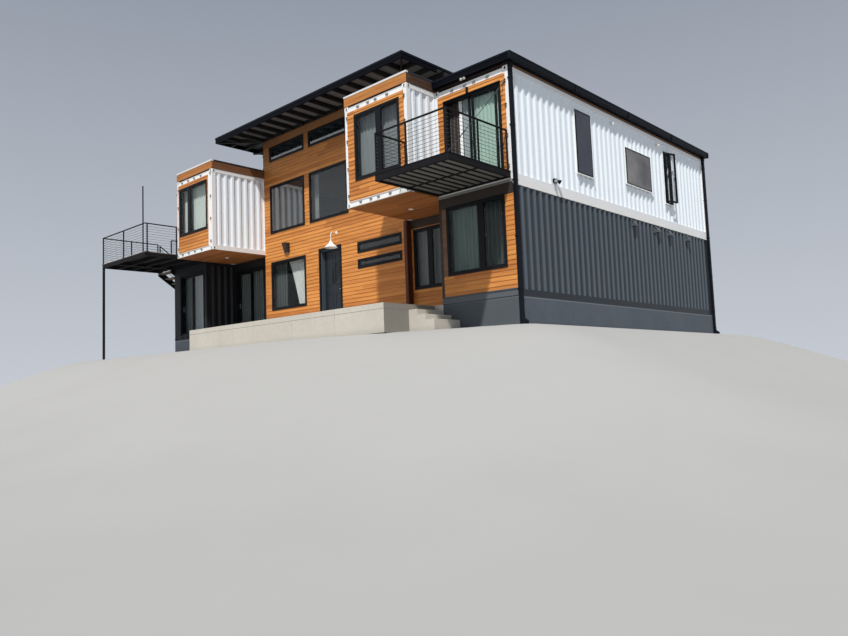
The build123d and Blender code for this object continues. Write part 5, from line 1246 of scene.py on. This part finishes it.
SET_IN = 0.187
UP, DOWN, MID, LEFT = (3.84, 6.26), (0.98, 3.36), (0.98, 3.4), (0.95, 3.4)
for name, mat, x, face, z, folds, *shape in (
        ("upper_door_right", MINT, (7.16, 8.12), YF, UP, 8),
        ("upper_door_edge", WHITE_CLOTH, (8.14, 8.4), YF, UP, 3),
        ("upper_door_middle", DIM_CLOTH, (6.9, 7.15), YF, UP, 3),
        ("upper_door_left", WHITE_CLOTH, (6.77, 6.88), YF, UP, 2),
        # Near-black sheet behind the open leaf: painted shade of the room inside.
        ("upper_door_dark", INTERIOR_SHADE_CLOTH, (6.14, 6.76), YF + 0.02, UP, 5, 0.018),
        ("lower_right_left", GREEN_CLOTH, (6.2, 7.46), YF, DOWN, 10),
        ("lower_right_middle", NIGHT_CLOTH, (7.48, 8.02), YF, DOWN, 4, 0.018),
        ("lower_right_right", GREEN_CLOTH, (8.04, 8.4), YF, DOWN, 4),
        ("recess_right", DIM_CLOTH, (3.7, 5.2), YR, MID, 12, 0.018),
        ("bay_right", DIM_CLOTH, (3.8, 5.9), YBR, (3.88, 6.3), 14),
        ("bay_left", PEARL_CLOTH, (-5.46, -3.86), YBL, (3.88, 6.3), 12),
        ("bay_left_edge", PALE_CLOTH, (-5.98, -5.64), YBL, (3.88, 6.3), 4),
        ("great_middle_right", GREY_CLOTH, (-0.98, -0.7), YG, (3.92, 6.26), 2),
        ("great_low_left", NIGHT_CLOTH, (-3.5, -2.6), YG, MID, 6),
        ("great_low_right", PALE_CLOTH, (-2.56, -1.22), YG, MID, 9, 0.02, 0.62),
        ("outer_left_right", GREY_CLOTH, (-7.4, -6.2), YOL + 0.06, LEFT, 9),
        ("outer_left_left", DARK_CLOTH, (-8.2, -7.46), YOL + 0.06, LEFT, 5),
        ("recess_left", DARK_CLOTH, (-6.00, -3.9), YR, LEFT, 14)):
    curtain(name + "_curtain", mat, x, face + SET_IN, z, folds, 31 + len(curtain_list), *shape)
rails_obj = rails.make("curtain_rails", STEEL, "steel", smooth=True)

# Floor: level under the house, falling away round it
CORNERS = [(8.6, -6.2), (8.6, 6.2), (-9.7, 6.2), (-9.7, -8.4), (3.2, -8.1)]


def ground(x, y):
    """Height of the floor: 0 inside the house's outline, lower with the distance from it."""
    best, sides = 1e9, []
    for (ax, ay), (bx, by) in zip(CORNERS, CORNERS[1:] + CORNERS[:1]):
        dx, dy = bx - ax, by - ay
        t = max(0.0, min(1.0, ((x - ax) * dx + (y - ay) * dy) / (dx * dx + dy * dy)))
        best = min(best, math.hypot(x - ax - t * dx, y - ay - t * dy))
        sides.append(dx * (y - ay) - dy * (x - ax))
    if all(s >= 0 for s in sides) or all(s <= 0 for s in sides) or best <= 0.5:
        return 0.0
    return -3.1 * (1 - math.exp(-(((best - 0.5) / 6.0) ** 1.5)))


marks = [0.0]
step = 0.35
while marks[-1] < 260:
    marks.append(marks[-1] + step)
    if marks[-1] > 22:
        step *= 1.16
marks = [-m for m in reversed(marks[1:])] + marks
mesh = bpy.data.meshes.new("floor")
verts = [(x, y, ground(x, y)) for y in marks for x in marks]
mesh.from_pydata(verts, [], grid_faces(len(marks), len(marks)))
for p in mesh.polygons:
    p.use_smooth = True
floor = bpy.data.objects.new("floor", mesh)
bpy.context.collection.objects.link(floor)
s = Shade("floor_plain", 0.9, spec=0.1)
s.colour(s.mix(s.noise(0.4, 3), (0.33, 0.33, 0.325), (0.36, 0.36, 0.355)))
mesh.materials.append(s.m)

# Sky, sun and camera
world = bpy.data.worlds.new("studio")
bpy.context.scene.world = world
world.use_nodes = True
nt = world.node_tree
bg = nt.nodes["Background"]
place = nt.nodes.new("ShaderNodeTexCoord")
split = nt.nodes.new("ShaderNodeSeparateXYZ")
shade = nt.nodes.new("ShaderNodeValToRGB")
nt.links.new(place.outputs["Generated"], split.inputs[0])
nt.links.new(split.outputs[2], shade.inputs[0])
nt.links.new(shade.outputs[0], bg.inputs[0])
for stop, level, colour in zip(shade.color_ramp.elements, (0.0, 0.55), (
        (0.66, 0.7, 0.76, 1), (0.3, 0.34, 0.42, 1))):
    stop.position = level
    stop.color = colour
bg.inputs[1].default_value = 0.85


def sun(name, energy, place, angle, colour=(1, 1, 1)):
    """A sun that shines from a place towards the foot of the house."""
    data = bpy.data.lights.new(name, "SUN")
    data.energy = energy
    data.color = colour
    data.angle = math.radians(angle)
    obj = bpy.data.objects.new(name, data)
    bpy.context.collection.objects.link(obj)
    obj.location = place
    obj.rotation_mode = "QUATERNION"
    obj.rotation_quaternion = (Vector((0, 0, 2)) - Vector(place)).to_track_quat("-Z", "Y")


sun("key", 4.5, (9.6, -16.5, 32), 2.0, (1.0, 0.97, 0.92))
sun("fill", 0.25, (-20, -18, 14), 40)

FOCAL, PHOTO_WIDTH, SENSOR = 721.114, 848, 36.0
EYE = (18.6315, -20.429, -1.232)
cam = bpy.data.cameras.new("camera")
cam.sensor_width = SENSOR
cam.lens = FOCAL / PHOTO_WIDTH * SENSOR
cam.clip_end = 1000
camera = bpy.data.objects.new("camera", cam)
bpy.context.collection.objects.link(camera)
yaw, pitch, roll = (math.radians(a) for a in (42.746, 4.958, -2.199))
fw = Vector((-math.sin(yaw) * math.cos(pitch), math.cos(yaw) * math.cos(pitch), math.sin(pitch)))
rt = Vector((math.cos(yaw), math.sin(yaw), 0))
up = rt.cross(fw)
r = rt * math.cos(roll) + up * math.sin(roll)
u = -rt * math.sin(roll) + up * math.cos(roll)
camera.matrix_world = Matrix.Translation(EYE) @ Matrix((r, u, -fw)).transposed().to_4x4()
bpy.context.scene.camera = camera
bpy.context.scene.view_settings.view_transform = "Standard"
